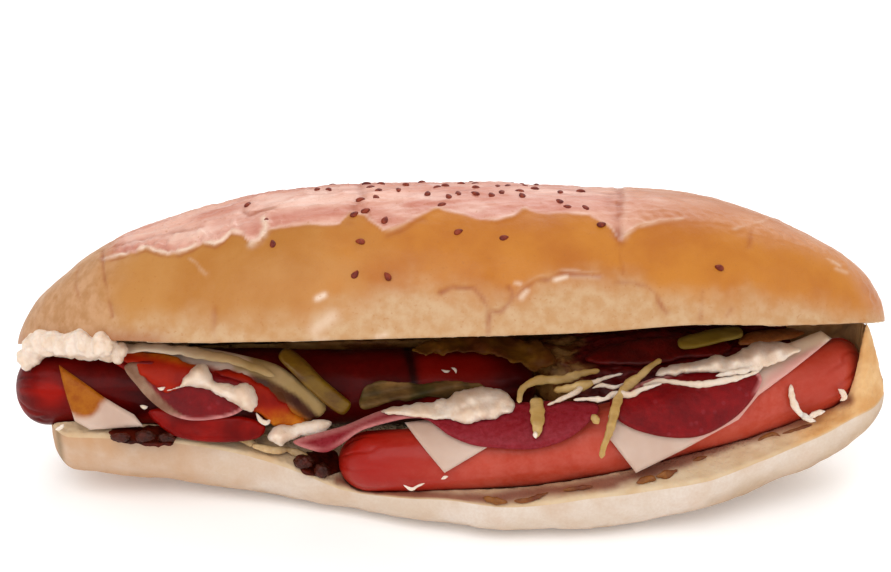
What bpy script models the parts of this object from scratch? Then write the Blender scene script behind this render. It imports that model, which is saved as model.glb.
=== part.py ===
"""A submarine sandwich: a seeded long roll, split and open at the front, with two sausages,
cheese, salami, pickles, salad shreds and cream. Lengths are in millimetres, and each mesh is
made in metres. X runs along the roll, the open side faces -Y, and the roll stands on Z = 0.
Fillings are laid out by x and by rise, which is the height of a point seen from SLANT above
the open side, so that one list of corners serves for any depth. Lift is the height of a
filling above what carries it."""

import math
import random

import bmesh
import bpy
import numpy as np
from mathutils import Vector, noise
from mathutils.geometry import delaunay_2d_cdt

MM = 0.001
GAP = 0.35
SLANT = math.radians(25)
UPWARD = np.array([math.sin(SLANT), math.cos(SLANT)])
OUTWARD = np.array([-math.cos(SLANT), math.sin(SLANT)])

# Roll
LEFT_TIP = -143.0
RIGHT_TIP = 142.0
APEX_X = -16.0
DOME_THICKNESS = 49.7
PLAN_HALF_DEPTH = 45.0
CUT_TILT = math.radians(24.4)
CUT_ROLL = 0.030
HINGE_Y = 42.0
HINGE_Z = 32.6
CENTRE_Y = 0.1
BOTTOM_LEFT = -131.5
LEFT_END_ROUNDING = 9.0
RIGHT_END_ROUNDING = 8.0
LEFT_SHIFT = 9.0
RIGHT_SHIFT = 3.0

# How fast the roll tapers to its tips: power and root to the left, then to the right
PLAN_TAPER = (2.0, 0.6, 2.4, 0.57)
DOME_TAPER = (2.2, 0.61, 2.75, 0.55)

# Dip along the crown, as (share of its thickness, x, width)
DOME_DIP = (0.036, 45, 48)

# Roundness of the sections: 1 is an ellipse, and less is boxier
DOME_ACROSS = 0.86
DOME_UP = 0.84
BELLY_ROUNDNESS = 0.52
BELLY_FLAT = 1.05

# Swells of the cut face along the front, as (height, x, width)
RIM_SWELLS = [(1.6, 76, 24), (1.2, -108, 18)]

# Stations along the lower half, as (x, value)
FRONT_DEPTH = [
    (-130, 20), (-113, 22.6), (-80, 23.5), (-58, 26), (-45, 29.5), (-30, 33.6), (-16, 39.5),
    (0, 44.3), (16, 47.9), (48, 46.6), (70, 43.4), (81, 41), (92, 35), (108, 28), (120, 23), (142, 13),
]
BELLY = [
    (-131.5, 10), (-113, 7.5), (-80, 3.2), (-58, 1), (-42, 0), (-36, 0), (-20, 0), (58, 0),
    (64, 0.6), (81, 3.4), (92, 5.4), (108, 8.5), (120, 11.8), (132, 18), (142, 27),
]
FRONT_RIM = [
    (-130, 25), (-106, 26), (-80, 23), (-61, 19.5), (-48, 16), (-34, 11.5), (-16, 13), (0, 14.8),
    (16, 14.5), (48, 17.5), (77, 19.5), (92, 20.5), (108, 24), (120, 27), (132, 31), (140, 33),
]
BACK_DROP = [(100, 0), (133.6, 0), (135.6, 2.5), (137.1, 7), (139.1, 13), (141.2, 19), (142.1, 22)]
END_WALL = [
    (122, 0), (127, 0.02), (130, 0.3), (132, 0.75), (133.6, 1), (134.6, 1), (137.1, 0.72),
    (139.1, 0.45), (141.2, 0.1), (142.1, 0),
]

# Sausage axes, as (x, y, z, radius); the runs go on past the ends for what is laid on them
SAUSAGE_RIGHT_ENDS = (-36.0, 134.8)
SAUSAGE_RIGHT_RUN = [
    (-62, -13, 11, 9.8), (-50, -19, 14.6, 9.8), (-26, -28, 19.7, 9.8), (0, -31, 22.6, 10.5),
    (26, -30.5, 24.4, 11), (48, -27, 26.5, 11.5), (80, -18, 30.8, 12), (100, -11, 33.3, 12.1),
    (122, -3, 37, 12.1), (134, 1, 39, 12),
]
SAUSAGE_CAP = 10.5
SAUSAGE_LEFT_ENDS = (-142.4, 28.0)
SAUSAGE_LEFT_RUN = [
    (-141, -2, 33.0, 12.6), (-120, -3.5, 33.8, 12.7), (-80, -7, 35.6, 12.5), (-30, -3, 33.6, 12.4),
    (30, -1.5, 33.0, 12.4),
]

# Salad heap: foot and brow as (x, y), rise of the brow, clearance, drop behind the brow
HEAP_FOOT = [(-96, 11), (-30, 12), (20, 12), (33, 0), (46, -13), (80, -7), (105, 2), (122, 9)]
HEAP_BROW = [(-96, 9), (-30, 9), (18, 9), (34, 0), (50, -8), (90, -4), (124, 6)]
HEAP_RISE = [(-96, 41), (-60, 43), (-14, 44), (18, 44), (40, 36), (90, 38), (124, 45)]
HEAP_CLEARANCE = 0.8
HEAP_BACK = 6.0
HEAP_DROP = 3.7

# Sesame seeds, as (x, angle round the crust, spread in x, spread in angle, count)
SEED_CLUSTERS = [
    (-38, 78, 5, 3, 3), (-25, 62, 4, 11, 10), (-12, 78, 4, 9, 5), (1, 65, 4, 6, 7),
    (14, 68, 4, 10, 5), (27, 72, 4, 7, 6), (39, 62, 4, 8, 5), (2, 103, 24, 7, 8),
]
SINGLE_SEEDS = [
    (-64.6, 68), (-58, 50), (-55.4, 36), (-29.4, 20), (-19.4, 19), (-28, 34), (2.5, 38),
    (16.7, 35), (47.3, 43), (84, 22),
]
SEED_SIZE = (1.55, 1.0, 0.75)
SEED_APART = 3.4

# Colours
CRUST = (0.66, 0.36, 0.13)
BREAD = (0.70, 0.50, 0.28)
DARK_SAUSAGE = (0.30, 0.02, 0.012)
SAUSAGE = (0.50, 0.08, 0.045)
SALAD = (0.13, 0.12, 0.04)
LETTUCE = (0.16, 0.13, 0.05)
CHEESE = (0.72, 0.56, 0.42)
SALAMI = (0.24, 0.02, 0.04)
MEAT = (0.08, 0.008, 0.012)
HAM = (0.35, 0.12, 0.05)
TOMATO = (0.45, 0.03, 0.012)
CREAM = (0.80, 0.66, 0.52)
PICKLE = (0.22, 0.17, 0.03)
SHRED = (0.42, 0.33, 0.12)
ONION = (0.62, 0.42, 0.28)
OLIVE = (0.07, 0.03, 0.018)


def through(stations):
    """A smooth curve through (x, value) stations, level beyond its ends."""
    xs = np.array([station[0] for station in stations], float)
    values = np.array([station[1] for station in stations], float)
    slopes = np.gradient(values, xs)

    def at(x):
        x = min(max(x, xs[0]), xs[-1])
        i = min(int(np.searchsorted(xs, x, side="right")) - 1, len(xs) - 2)
        step = xs[i + 1] - xs[i]
        t = (x - xs[i]) / step
        return float(
            values[i] * (2 * t**3 - 3 * t**2 + 1)
            + values[i + 1] * (3 * t**2 - 2 * t**3)
            + step * slopes[i] * (t**3 - 2 * t**2 + t)
            + step * slopes[i + 1] * (t**3 - t**2)
        )

    return at


def power(value, exponent):
    return math.copysign(abs(value) ** exponent, value)


def smoothstep(value, low, high):
    t = min(max((value - low) / (high - low), 0.0), 1.0)
    return t * t * (3 - 2 * t)


def end_rounding(x, low, high, low_length, high_length):
    """1 along a body, falling as a quarter circle over its last few millimetres."""
    near = min((x - low) / low_length, (high - x) / high_length, 1.0)
    return math.sqrt(max(1 - (1 - max(near, 0.0)) ** 2, 0.0))


front_depth = through(FRONT_DEPTH)
belly = through(BELLY)
front_rim = through(FRONT_RIM)
end_wall = through(END_WALL)
back_drop = through(BACK_DROP)
heap_foot = through(HEAP_FOOT)
heap_brow = through(HEAP_BROW)
heap_rise = through(HEAP_RISE)


class Run:
    """The axis and radius of a sausage, as functions of x."""

    def __init__(self, stations):
        self.y = through([(x, y) for x, y, z, r in stations])
        self.z = through([(x, z) for x, y, z, r in stations])
        self.radius = through([(x, r) for x, y, z, r in stations])

    def centre(self, x):
        return np.array([self.y(x), self.z(x)])

    def place(self, x, rise, lift, turn=50.0):
        """A point over this run: straight down below the axis, round it, then straight back."""
        centre = self.centre(x)
        reach = self.radius(x) + GAP + lift
        level = float(centre @ UPWARD)
        turn = math.radians(turn)
        if rise < level:
            spot = centre + reach * OUTWARD + (rise - level) * UPWARD
        elif rise < level + reach * math.sin(turn):
            angle = math.asin((rise - level) / reach)
            spot = centre + reach * (math.sin(angle) * UPWARD + math.cos(angle) * OUTWARD)
        else:
            corner = centre + reach * (math.sin(turn) * UPWARD + math.cos(turn) * OUTWARD)
            along = math.cos(turn) * UPWARD - math.sin(turn) * OUTWARD
            beyond = rise - level - reach * math.sin(turn)
            spot = corner + along * beyond / math.cos(turn)
        return (x, spot[0], spot[1])


right_run = Run(SAUSAGE_RIGHT_RUN)
left_run = Run(SAUSAGE_LEFT_RUN)


def cut_plane(x, y):
    """Height of the top half's cut face."""
    swell = sum(height * math.exp(-(((x - at) / width) ** 2)) for height, at, width in RIM_SWELLS)
    return HINGE_Z + (HINGE_Y - y) * math.tan(CUT_TILT) + CUT_ROLL * x + swell


def fullness(x, taper):
    """1 at the roll's fullest place, 0 at its tips."""
    left_power, left_root, right_power, right_root = taper
    if x < APEX_X:
        share = (APEX_X - x) / (APEX_X - LEFT_TIP)
        return max(1 - share**left_power, 0) ** left_root
    share = (x - APEX_X) / (RIGHT_TIP - APEX_X)
    return max(1 - share**right_power, 0) ** right_root


def plan(x):
    """Middle and half depth of the roll seen from above."""
    share = abs(x - APEX_X) / (APEX_X - LEFT_TIP if x < APEX_X else RIGHT_TIP - APEX_X)
    shift = LEFT_SHIFT if x < APEX_X else RIGHT_SHIFT
    half = PLAN_HALF_DEPTH * math.cos(CUT_TILT) * fullness(x, PLAN_TAPER)
    return CENTRE_Y + shift * share**3, half


def dome_point(x, angle):
    """A point of the upper crust, its angle going from the front rim over to the back rim."""
    middle, half = plan(x)
    dip, dip_x, dip_width = DOME_DIP
    thickness = DOME_THICKNESS * (1 - dip * math.exp(-(((x - dip_x) / dip_width) ** 2)))
    thickness *= fullness(x, DOME_TAPER)
    across = -half / math.cos(CUT_TILT) * power(math.cos(angle), DOME_ACROSS)
    up = thickness * power(math.sin(angle), DOME_UP)
    y = middle + across * math.cos(CUT_TILT) + up * math.sin(CUT_TILT)
    z = cut_plane(x, middle) - across * math.sin(CUT_TILT) + up * math.cos(CUT_TILT)
    return (x, y, z)


def crust_point(x, angle):
    """A point of the upper crust and its outward direction."""
    here = Vector(dome_point(x, angle))
    along = Vector(dome_point(x + 0.5, angle)) - here
    around = Vector(dome_point(x, angle + 0.01)) - here
    outward = along.cross(around).normalized()
    if outward.z < 0:
        outward.negate()
    return here, outward


def new_object(name, mesh, collection, color=None, roughness=0.6):
    thing = bpy.data.objects.new(name, mesh)
    collection.objects.link(thing)
    if color:
        material = bpy.data.materials.new(name)
        material.use_nodes = True
        shader = material.node_tree.nodes["Principled BSDF"]
        shader.inputs["Base Color"].default_value = (*color, 1.0)
        shader.inputs["Roughness"].default_value = roughness
        material.diffuse_color = (*color, 1.0)
        mesh.materials.append(material)
    return thing


def mesh_from(name, points, faces):
    mesh = bpy.data.meshes.new(name)
    mesh.from_pydata([tuple(MM * value for value in point) for point in points], [], faces)
    shape = bmesh.new()
    shape.from_mesh(mesh)
    bmesh.ops.recalc_face_normals(shape, faces=shape.faces)
    shape.to_mesh(mesh)
    shape.free()
    mesh.shade_smooth()
    return mesh


def loft_mesh(name, rings):
    """A closed body through rings of equally many points, its ends closed to their middles."""
    count = len(rings[0])
    points = [tuple(point) for ring in rings for point in ring]
    faces = []
    for i in range(len(rings) - 1):
        for j in range(count):
            k = (j + 1) % count
            faces.append((i * count + j, i * count + k, (i + 1) * count + k, (i + 1) * count + j))
    for start in (0, (len(rings) - 1) * count):
        middle = np.mean(points[start : start + count], axis=0)
        points.append(tuple(middle))
        for j in range(count):
            faces.append((start + j, start + (j + 1) % count, len(points) - 1))
    return mesh_from(name, points, faces)


def stations(low, high, count, ease=0.5):
    """Places from low to high, closer together near both ends."""
    steps = np.linspace(0, 1, count)
    eased = (1 - np.cos(np.pi * steps)) / 2
    return low + (high - low) * ((1 - ease) * steps + ease * eased)


def top_ring(x, dome_points=15, face_points=7):
    """Section of the top half: its dome from front rim to back rim, then its cut face."""
    middle, half = plan(x)
    ring = [dome_point(x, angle) for angle in np.linspace(0, math.pi, dome_points)]
    for share in np.linspace(1, 0, face_points + 2)[1:-1]:
        y = middle + half * (2 * share - 1)
        ring.append((x, y, cut_plane(x, y)))
    return ring


def seed_mesh(index, spot, outward, turn):
    """One sesame seed lying on the crust, half sunk in it and narrower at one end."""
    seed = bmesh.new()
    bmesh.ops.create_uvsphere(seed, u_segments=6, v_segments=4, radius=1.0)
    facing = outward.to_track_quat("Z", "Y")
    length, width, height = SEED_SIZE
    for vertex in seed.verts:
        x, y, z = vertex.co
        x, y, z = x * length, y * width * (1 - 0.28 * x), z * height
        flat = Vector(
            (x * math.cos(turn) - y * math.sin(turn), x * math.sin(turn) + y * math.cos(turn), z)
        )
        flat.rotate(facing)
        vertex.co = (flat + spot) * MM
    mesh = bpy.data.meshes.new(f"seed_{index}")
    seed.to_mesh(mesh)
    seed.free()
    return mesh


def seed_places():
    """Seeds lie in clusters along the crown, with a few stray ones down the front."""
    draw = random.Random(11)
    wanted = [(x, angle, 0, 0) for x, angle in SINGLE_SEEDS]
    for x, angle, spread_x, spread_angle, count in SEED_CLUSTERS:
        wanted += [(x, angle, spread_x, spread_angle)] * count
    chosen = []
    for x, angle, spread_x, spread_angle in wanted:
        for _ in range(12):
            at_angle = math.radians(draw.gauss(angle, spread_angle))
            spot, outward = crust_point(draw.gauss(x, spread_x), at_angle)
            if all((spot - other[0]).length > SEED_APART for other in chosen):
                chosen.append((spot, outward, draw.uniform(0, math.pi)))
                break
    return chosen


def apply_boolean(thing, operation, others, solver="EXACT"):
    """Joins or cuts with a collection of closed meshes, then removes them."""
    modifier = thing.modifiers.new(operation.lower(), "BOOLEAN")
    modifier.operation = operation
    modifier.operand_type = "COLLECTION"
    modifier.collection = others
    modifier.solver = solver
    graph = bpy.context.evaluated_depsgraph_get()
    result = bpy.data.meshes.new_from_object(thing.evaluated_get(graph))
    thing.modifiers.clear()
    drop_scraps(result)
    thing.data = result
    for other in list(others.objects):
        bpy.data.objects.remove(other)
    bpy.data.collections.remove(others)


def drop_scraps(mesh):
    """Keeps a mesh's largest connected body."""
    shape = bmesh.new()
    shape.from_mesh(mesh)
    left = set(shape.verts)
    bodies = []
    while left:
        body = {left.pop()}
        edge = list(body)
        while edge:
            for link in edge.pop().link_edges:
                for vertex in link.verts:
                    if vertex in left:
                        left.remove(vertex)
                        body.add(vertex)
                        edge.append(vertex)
        bodies.append(body)
    bodies.sort(key=len)
    scraps = [vertex for body in bodies[:-1] for vertex in body]
    bmesh.ops.delete(shape, geom=scraps, context="VERTS")
    shape.to_mesh(mesh)
    shape.free()


def helper_collection(name):
    helpers = bpy.data.collections.new(name)
    helpers.hide_render = True
    bpy.context.scene.collection.children.link(helpers)
    return helpers


def make_bun_top(parts):
    rings = [top_ring(x) for x in stations(LEFT_TIP + 0.15, RIGHT_TIP - 0.15, 38, 0.75)]
    mesh = loft_mesh("bun_top", rings)
    top = new_object("bun_top", mesh, parts, CRUST, 0.45)
    seeds = helper_collection("seeds")
    for index, (spot, outward, turn) in enumerate(seed_places()):
        new_object(f"seed_{index}", seed_mesh(index, spot, outward, turn), seeds)
    apply_boolean(top, "UNION", seeds)


def bottom_ring(x, arc_points=15, face_points=9):
    """Section of the lower half: its crust from front rim to back rim, then its cut face."""
    rounding = end_rounding(x, BOTTOM_LEFT, RIGHT_TIP, LEFT_END_ROUNDING, RIGHT_END_ROUNDING)
    middle, half = plan(x)
    mid_y = (middle + half - front_depth(x)) / 2
    back = mid_y + (middle + half - mid_y) * rounding
    front = mid_y - (mid_y + front_depth(x)) * rounding
    rim = front_rim(x)
    hinge = cut_plane(x, back) - GAP - max(back_drop(x), 0.0)
    low = max(belly(x), 0.0)
    low += (1 - rounding) * 0.6 * (rim - low)

    def upper(y):
        share = (y - front) / (back - front)
        level = rim + (hinge - rim) * share
        wall = max(end_wall(x), 0.0) * smoothstep(y, front, min(-3, back))
        return level + wall * (cut_plane(x, y) - GAP - level)

    centre = (front + back) / 2
    half_depth = (back - front) / 2
    ring = []
    for angle in np.linspace(0, math.pi, arc_points):
        y = centre - half_depth * power(math.cos(angle), BELLY_ROUNDNESS)
        depth = min(BELLY_FLAT * power(math.sin(angle), BELLY_ROUNDNESS), 1.0)
        ring.append((x, y, upper(y) + (low - upper(y)) * depth))
    for share in np.linspace(1, 0, face_points + 2)[1:-1]:
        y = front + (back - front) * share
        ring.append((x, y, upper(y)))
    return ring


def sausage_mesh(name, run, ends, grow=0.0, rings=30, sides=16):
    low, high = ends[0] - grow, ends[1] + grow
    body = []
    for x in stations(low + 0.12, high - 0.12, rings, 0.8):
        reach = (run.radius(x) + grow) * end_rounding(x, low, high, SAUSAGE_CAP, SAUSAGE_CAP)
        centre = run.centre(x)
        ring = []
        for side in range(sides):
            angle = 2 * math.pi * side / sides
            ring.append((x, centre[0] + reach * math.cos(angle), centre[1] + reach * math.sin(angle)))
        body.append(ring)
    return loft_mesh(name, body)


def seats(name, grow):
    """Both sausages a little larger, as cutters."""
    cutters = helper_collection(name)
    for side, run, ends in (
        ("left", left_run, SAUSAGE_LEFT_ENDS),
        ("right", right_run, SAUSAGE_RIGHT_ENDS),
    ):
        cutter = new_object(f"{name}_{side}", sausage_mesh(f"{name}_{side}", run, ends, grow), cutters)
        cutter.hide_render = True
        cutter.display_type = "WIRE"
    return cutters


def make_bun_bottom(parts):
    rings = [bottom_ring(x) for x in stations(BOTTOM_LEFT + 0.1, RIGHT_TIP - 0.15, 40, 0.7)]
    bottom = new_object("bun_bottom", loft_mesh("bun_bottom", rings), parts, BREAD, 0.7)
    apply_boolean(bottom, "DIFFERENCE", seats("bread_seat", GAP))


def make_sausages(parts):
    left = sausage_mesh("sausage_left", left_run, SAUSAGE_LEFT_ENDS)
    new_object("sausage_left", left, parts, DARK_SAUSAGE, 0.3)
    right = sausage_mesh("sausage_right", right_run, SAUSAGE_RIGHT_ENDS)
    new_object("sausage_right", right, parts, SAUSAGE, 0.35)


def heap_line(x):
    """Back, meeting place and brow of the heap's top, as (y, z), at one station."""
    middle, half = plan(x)
    back_y = middle + half - HEAP_BACK
    brow_y = heap_brow(x)
    meet_y = brow_y + min(17.0, 0.6 * (back_y - brow_y))
    meet = (meet_y, cut_plane(x, meet_y) - HEAP_CLEARANCE - HEAP_DROP)
    return back_y, meet, (brow_y, (heap_rise(x) - brow_y * UPWARD[0]) / UPWARD[1])


def bread_level(x, y):
    """Height of the lower half's cut face between its front and back rims."""
    middle, half = plan(x)
    rim = front_rim(x)
    hinge = cut_plane(x, middle + half) - GAP
    return rim + (hinge - rim) * (y + front_depth(x)) / (middle + half + front_depth(x))


def heap_ring(x, top_points=6):
    """Section of the salad that fills the back of the opening."""
    low_y = heap_foot(x)
    back_y, meet, brow = heap_line(x)
    back_z = bread_level(x, back_y) + HEAP_CLEARANCE
    ring = [
        (x, low_y, bread_level(x, low_y) + HEAP_CLEARANCE),
        (x, back_y, back_z),
        (x, back_y, max(cut_plane(x, back_y) - HEAP_CLEARANCE, back_z + HEAP_CLEARANCE)),
    ]
    for share in np.linspace(0, 1, top_points):
        y = back_y + (meet[0] - back_y) * share
        ring.append((x, y, cut_plane(x, y) - HEAP_CLEARANCE - HEAP_DROP * share**2))
    for share in np.linspace(0, 1, top_points)[1:]:
        y = meet[0] + (brow[0] - meet[0]) * share
        wave = 1.1 * noise.noise((x / 9, y / 7, 3.0)) * math.sin(math.pi * share)
        ring.append((x, y, meet[1] + (brow[1] - meet[1]) * share + min(wave, 0.6)))
    ring.append((x, (brow[0] + low_y) / 2, (brow[1] + ring[0][2]) / 2))
    return ring


def heap_place(x, rise, lift):
    """A point over the heap's sloping front, seen at this rise."""
    _, meet, brow = heap_line(x)
    along = np.array(meet) - np.array(brow)
    along /= np.linalg.norm(along)
    normal = np.array([-along[1], along[0]])
    start = np.array(brow) + normal * (lift + 1.0)
    spot = start + along * (rise - start @ UPWARD) / (along @ UPWARD)
    return (x, spot[0], spot[1])


def bread_place(x, rise, lift):
    """A point over the lower half's cut face near its front rim."""
    front = np.array([-front_depth(x), front_rim(x)])
    along = np.array([1.0, 0.2]) / math.hypot(1.0, 0.2)
    start = front + np.array([-along[1], along[0]]) * (lift + GAP)
    spot = start + along * (rise - start @ UPWARD) / (along @ UPWARD)
    return (x, spot[0], spot[1])


def make_salad_heap(parts):
    rings = [heap_ring(x) for x in stations(-88, 112, 26, 0.2)]
    heap = new_object("salad_heap", loft_mesh("salad_heap", rings), parts, SALAD, 0.6)
    apply_boolean(heap, "DIFFERENCE", seats("heap_seat", 0.5))


def closed_curve(corners, spacing, smooth=True):
    """Even points along a closed outline through the corners."""
    corners = [np.array(corner, float) for corner in corners]
    count = len(corners)
    line = []
    for i in range(count):
        before, here = corners[i - 1], corners[i]
        ahead, after = corners[(i + 1) % count], corners[(i + 2) % count]
        steps = max(2, round(float(np.linalg.norm(ahead - here)) / spacing))
        for step in range(steps):
            t = step / steps
            if smooth:
                point = 0.5 * (
                    2 * here
                    + (ahead - before) * t
                    + (2 * before - 5 * here + 4 * ahead - after) * t**2
                    + (3 * here - before - 3 * ahead + after) * t**3
                )
            else:
                point = here + (ahead - here) * t
            line.append(point)
    return line


def edge_distance(point, outline):
    """Distance from a point to a closed outline, below 0 outside it."""
    best = 1e9
    inside = False
    for i, start in enumerate(outline):
        end = outline[(i + 1) % len(outline)]
        along = end - start
        t = float(np.clip((point - start) @ along / (along @ along), 0, 1))
        best = min(best, float(np.linalg.norm(start + along * t - point)))
        if (start[1] > point[1]) != (end[1] > point[1]):
            crossing = start[0] + (point[1] - start[1]) / (end[1] - start[1]) * along[0]
            inside ^= point[0] < crossing
    return best if inside else -best


def sheet_mesh(name, outline, place, lift, thickness, spacing):
    """A thin closed body over an outline, both faces split into triangles alike."""
    low, high = np.min(outline, axis=0), np.max(outline, axis=0)
    inner = []
    row = 0
    y = low[1] + spacing / 2
    while y < high[1]:
        x = low[0] + spacing * (0.25 + 0.5 * (row % 2))
        while x < high[0]:
            if edge_distance(np.array([x, y]), outline) > 0.55 * spacing:
                inner.append(np.array([x, y]))
            x += spacing
        y += spacing * 0.866
        row += 1
    flat = [Vector(point) for point in outline + inner]
    loop = list(range(len(outline)))
    found, _, triangles, _, _, _ = delaunay_2d_cdt(flat, [], [loop], 1, 1e-5)
    points = []
    for side in (0, 1):
        for spot in found:
            depth = max(edge_distance(np.array(spot), outline), 0.0)
            base = lift(spot[0], spot[1], depth)
            extra = thickness(spot[0], spot[1], depth) if side else 0.0
            points.append(place(spot[0], spot[1], base + extra))
    count = len(found)
    faces = [tuple(face) for face in triangles]
    faces += [tuple(count + i for i in reversed(face)) for face in triangles]
    used = {}
    for face in triangles:
        for i, start in enumerate(face):
            end = face[(i + 1) % len(face)]
            used[(start, end)] = True
    for start, end in used:
        if (end, start) not in used:
            faces.append((end, start, count + start, count + end))
    return mesh_from(name, points, faces)


def make_sheet(parts, name, color, corners, place, lift=0.0, thickness=1.6, spacing=4.5, smooth=True,
               roughness=0.5):
    outline = closed_curve(corners, spacing, smooth)
    lift_at = lift if callable(lift) else (lambda x, rise, depth: lift)
    thick_at = thickness if callable(thickness) else (lambda x, rise, depth: thickness)
    mesh = sheet_mesh(name, outline, place, lift_at, thick_at, spacing)
    return new_object(name, mesh, parts, color, roughness)


def strip_outline(path, width):
    """The outline of a strip that follows a path, rounded off at both ends."""
    path = [np.array(point, float) for point in path]
    left, right = [], []
    for i, point in enumerate(path):
        along = path[min(i + 1, len(path) - 1)] - path[max(i - 1, 0)]
        along /= np.linalg.norm(along)
        across = np.array([-along[1], along[0]])
        half = width / 2 * (0.7 if i in (0, len(path) - 1) else 1.0)
        left.append(point + across * half)
        right.append(point - across * half)
    return left + right[::-1]


def lumps(bumps, base, edge=0.5):
    """Thickness of a dollop: a rounded edge, and one swelling for each (x, rise, size, height)."""

    def at(x, rise, depth):
        swell = base
        for bump_x, bump_rise, size, height in bumps:
            away = ((x - bump_x) ** 2 + (rise - bump_rise) ** 2) / size**2
            swell += height * math.exp(-away)
        return edge + swell * math.sqrt(1 - (1 - min(depth / 3.0, 1.0)) ** 2)

    return at


def make_cheese(parts):
    make_sheet(
        parts, "cheese_left", CHEESE,
        [(-126.5, 36.6), (-123.5, 26), (-121, 18.6), (-116, 15.8), (-109.5, 16.2), (-98.5, 17),
         (-101.6, 20.8), (-107, 23.7), (-111.5, 26.4), (-118, 31)],
        left_run.place, lift=0.0, thickness=1.7, smooth=False,
    )
    make_sheet(
        parts, "cheese_upper_left", CHEESE,
        [(-112, 42.3), (-95, 42.3), (-80, 42), (-66, 39.5), (-55, 36.3), (-48, 31), (-40, 23.2),
         (-46, 18.5), (-60, 21), (-78, 25.5), (-96, 31), (-108, 37)],
        left_run.place, lift=0.0, thickness=1.7,
    )
    make_sheet(
        parts, "cheese_middle", CHEESE,
        [(-14.5, 18.5), (-8, 10.5), (-1.8, 3.2), (11.5, 11.2), (12, 16), (-4, 20)],
        right_run.place, lift=0.0, thickness=1.7, smooth=False,
    )
    make_sheet(
        parts, "cheese_right", CHEESE,
        [(58.7, 3.0), (74, 10.2), (92, 19.5), (98.4, 27), (110, 35), (124, 45), (121, 47.5),
         (106, 42), (88, 36), (70, 31), (54, 27), (50, 21), (50.5, 13.5)],
        right_run.place, lift=0.1, thickness=1.6, spacing=3.6, smooth=False,
    )


def make_salami(parts):
    def curled(x, rise, depth):
        return 2.1 + 1.8 * math.exp(-depth / 1.6) * smoothstep(-x, 78, 92)

    make_sheet(
        parts, "salami_left", SALAMI,
        [(-104.5, 36), (-100.5, 30.6), (-96.2, 25.8), (-90.6, 21.6), (-83.6, 19.2), (-75, 19.5),
         (-68, 21.4), (-63.5, 26), (-66, 31), (-76, 34), (-90, 37.2), (-100, 38)],
        left_run.place, lift=curled, thickness=1.5,
    )
    make_sheet(
        parts, "salami_middle", SALAMI,
        [(-50.5, 12), (-44, 9.6), (-38.7, 9.4), (-32.4, 13.3), (-27.4, 16.4), (-14.3, 19.8),
         (-7, 19.4), (-1, 15.4), (6.3, 12.3), (14.5, 11.2), (27, 11), (37.6, 14.4), (45, 20.5),
         (46.5, 24.6), (33, 25.5), (15, 24.6), (-5, 24), (-20, 22.8), (-34, 17.4), (-44, 14.6)],
        right_run.place, lift=2.1, thickness=1.6, spacing=4.2,
    )
    make_sheet(
        parts, "salami_right", SALAMI,
        [(51.6, 21.2), (58, 16.9), (69.4, 14.2), (80.6, 14.9), (91.5, 21), (98.2, 29),
         (99, 34), (90, 37), (72, 34.5), (56, 29.5), (51, 26)],
        right_run.place, lift=2.2, thickness=1.5, spacing=4.0,
    )


def make_tomato(parts):
    make_sheet(
        parts, "tomato_left", TOMATO,
        [(-97, 21.5), (-91, 15.5), (-84, 12.8), (-72, 12), (-62, 13.2), (-59.5, 17), (-66, 20),
         (-80, 21), (-90, 23)],
        left_run.place, lift=0.0, thickness=1.9,
    )


def make_cream(parts):
    make_sheet(
        parts, "cream_left_lumps", CREAM,
        [(-90.5, 28.6), (-86, 31), (-82.5, 36), (-78, 36.8), (-75.5, 32), (-69, 30.5), (-64, 31),
         (-61.5, 26), (-63.5, 22), (-69, 24.4), (-76, 28.4), (-83, 30)],
        left_run.place, lift=4.3,
        thickness=lumps([(-80.5, 33.5, 4, 3.5), (-66, 27, 4, 3.5)], 1.2), spacing=3.6,
    )
    make_sheet(
        parts, "cream_mid_left", CREAM,
        [(-58.5, 13), (-54.5, 10.8), (-50, 13.5), (-41.5, 15), (-38.5, 18), (-44, 19),
         (-50, 17.5), (-56, 17.2)],
        left_run.place, lift=2.2, thickness=lumps([(-55, 14, 3, 3)], 1.4), spacing=3.4,
    )
    make_sheet(
        parts, "cream_middle", CREAM,
        [(-22, 22), (-12, 20.6), (0, 19.6), (4, 18.6), (9, 19.2), (18.5, 22), (19.6, 26.5),
         (14, 29.5), (5, 29), (-2, 26), (-14, 24.2)],
        right_run.place, lift=4.1, thickness=lumps([(8, 25, 5, 3.6)], 0.9), spacing=3.8,
    )
    make_sheet(
        parts, "cream_right", CREAM,
        [(65.5, 33.4), (70, 33.6), (76, 34), (84, 34.4), (92, 35), (98, 35), (105, 37.6),
         (113, 41.5), (108, 43.6), (99.5, 43.8), (94.5, 41.6), (89.5, 39.6), (84.5, 39.6),
         (79, 37.6), (73, 37), (68, 35.9)],
        right_run.place, lift=4.1,
        thickness=lumps([(80, 35.8, 3, 2.2), (100, 40, 5, 3), (88, 37, 3, 2.4)], 1.0), spacing=3.0,
    )


def swollen_top(name, reach):
    """The left part of the top half, larger by a small reach all round, as a cutter."""
    body = []
    for x in stations(LEFT_TIP - 0.3, -60, 24):
        ring = [np.array(point) for point in top_ring(x)]
        middle = np.mean(ring, axis=0)
        body.append([
            middle + (point - middle) * (1 + reach / np.linalg.norm(point - middle)) for point in ring
        ])
    return loft_mesh(name, body)


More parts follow.
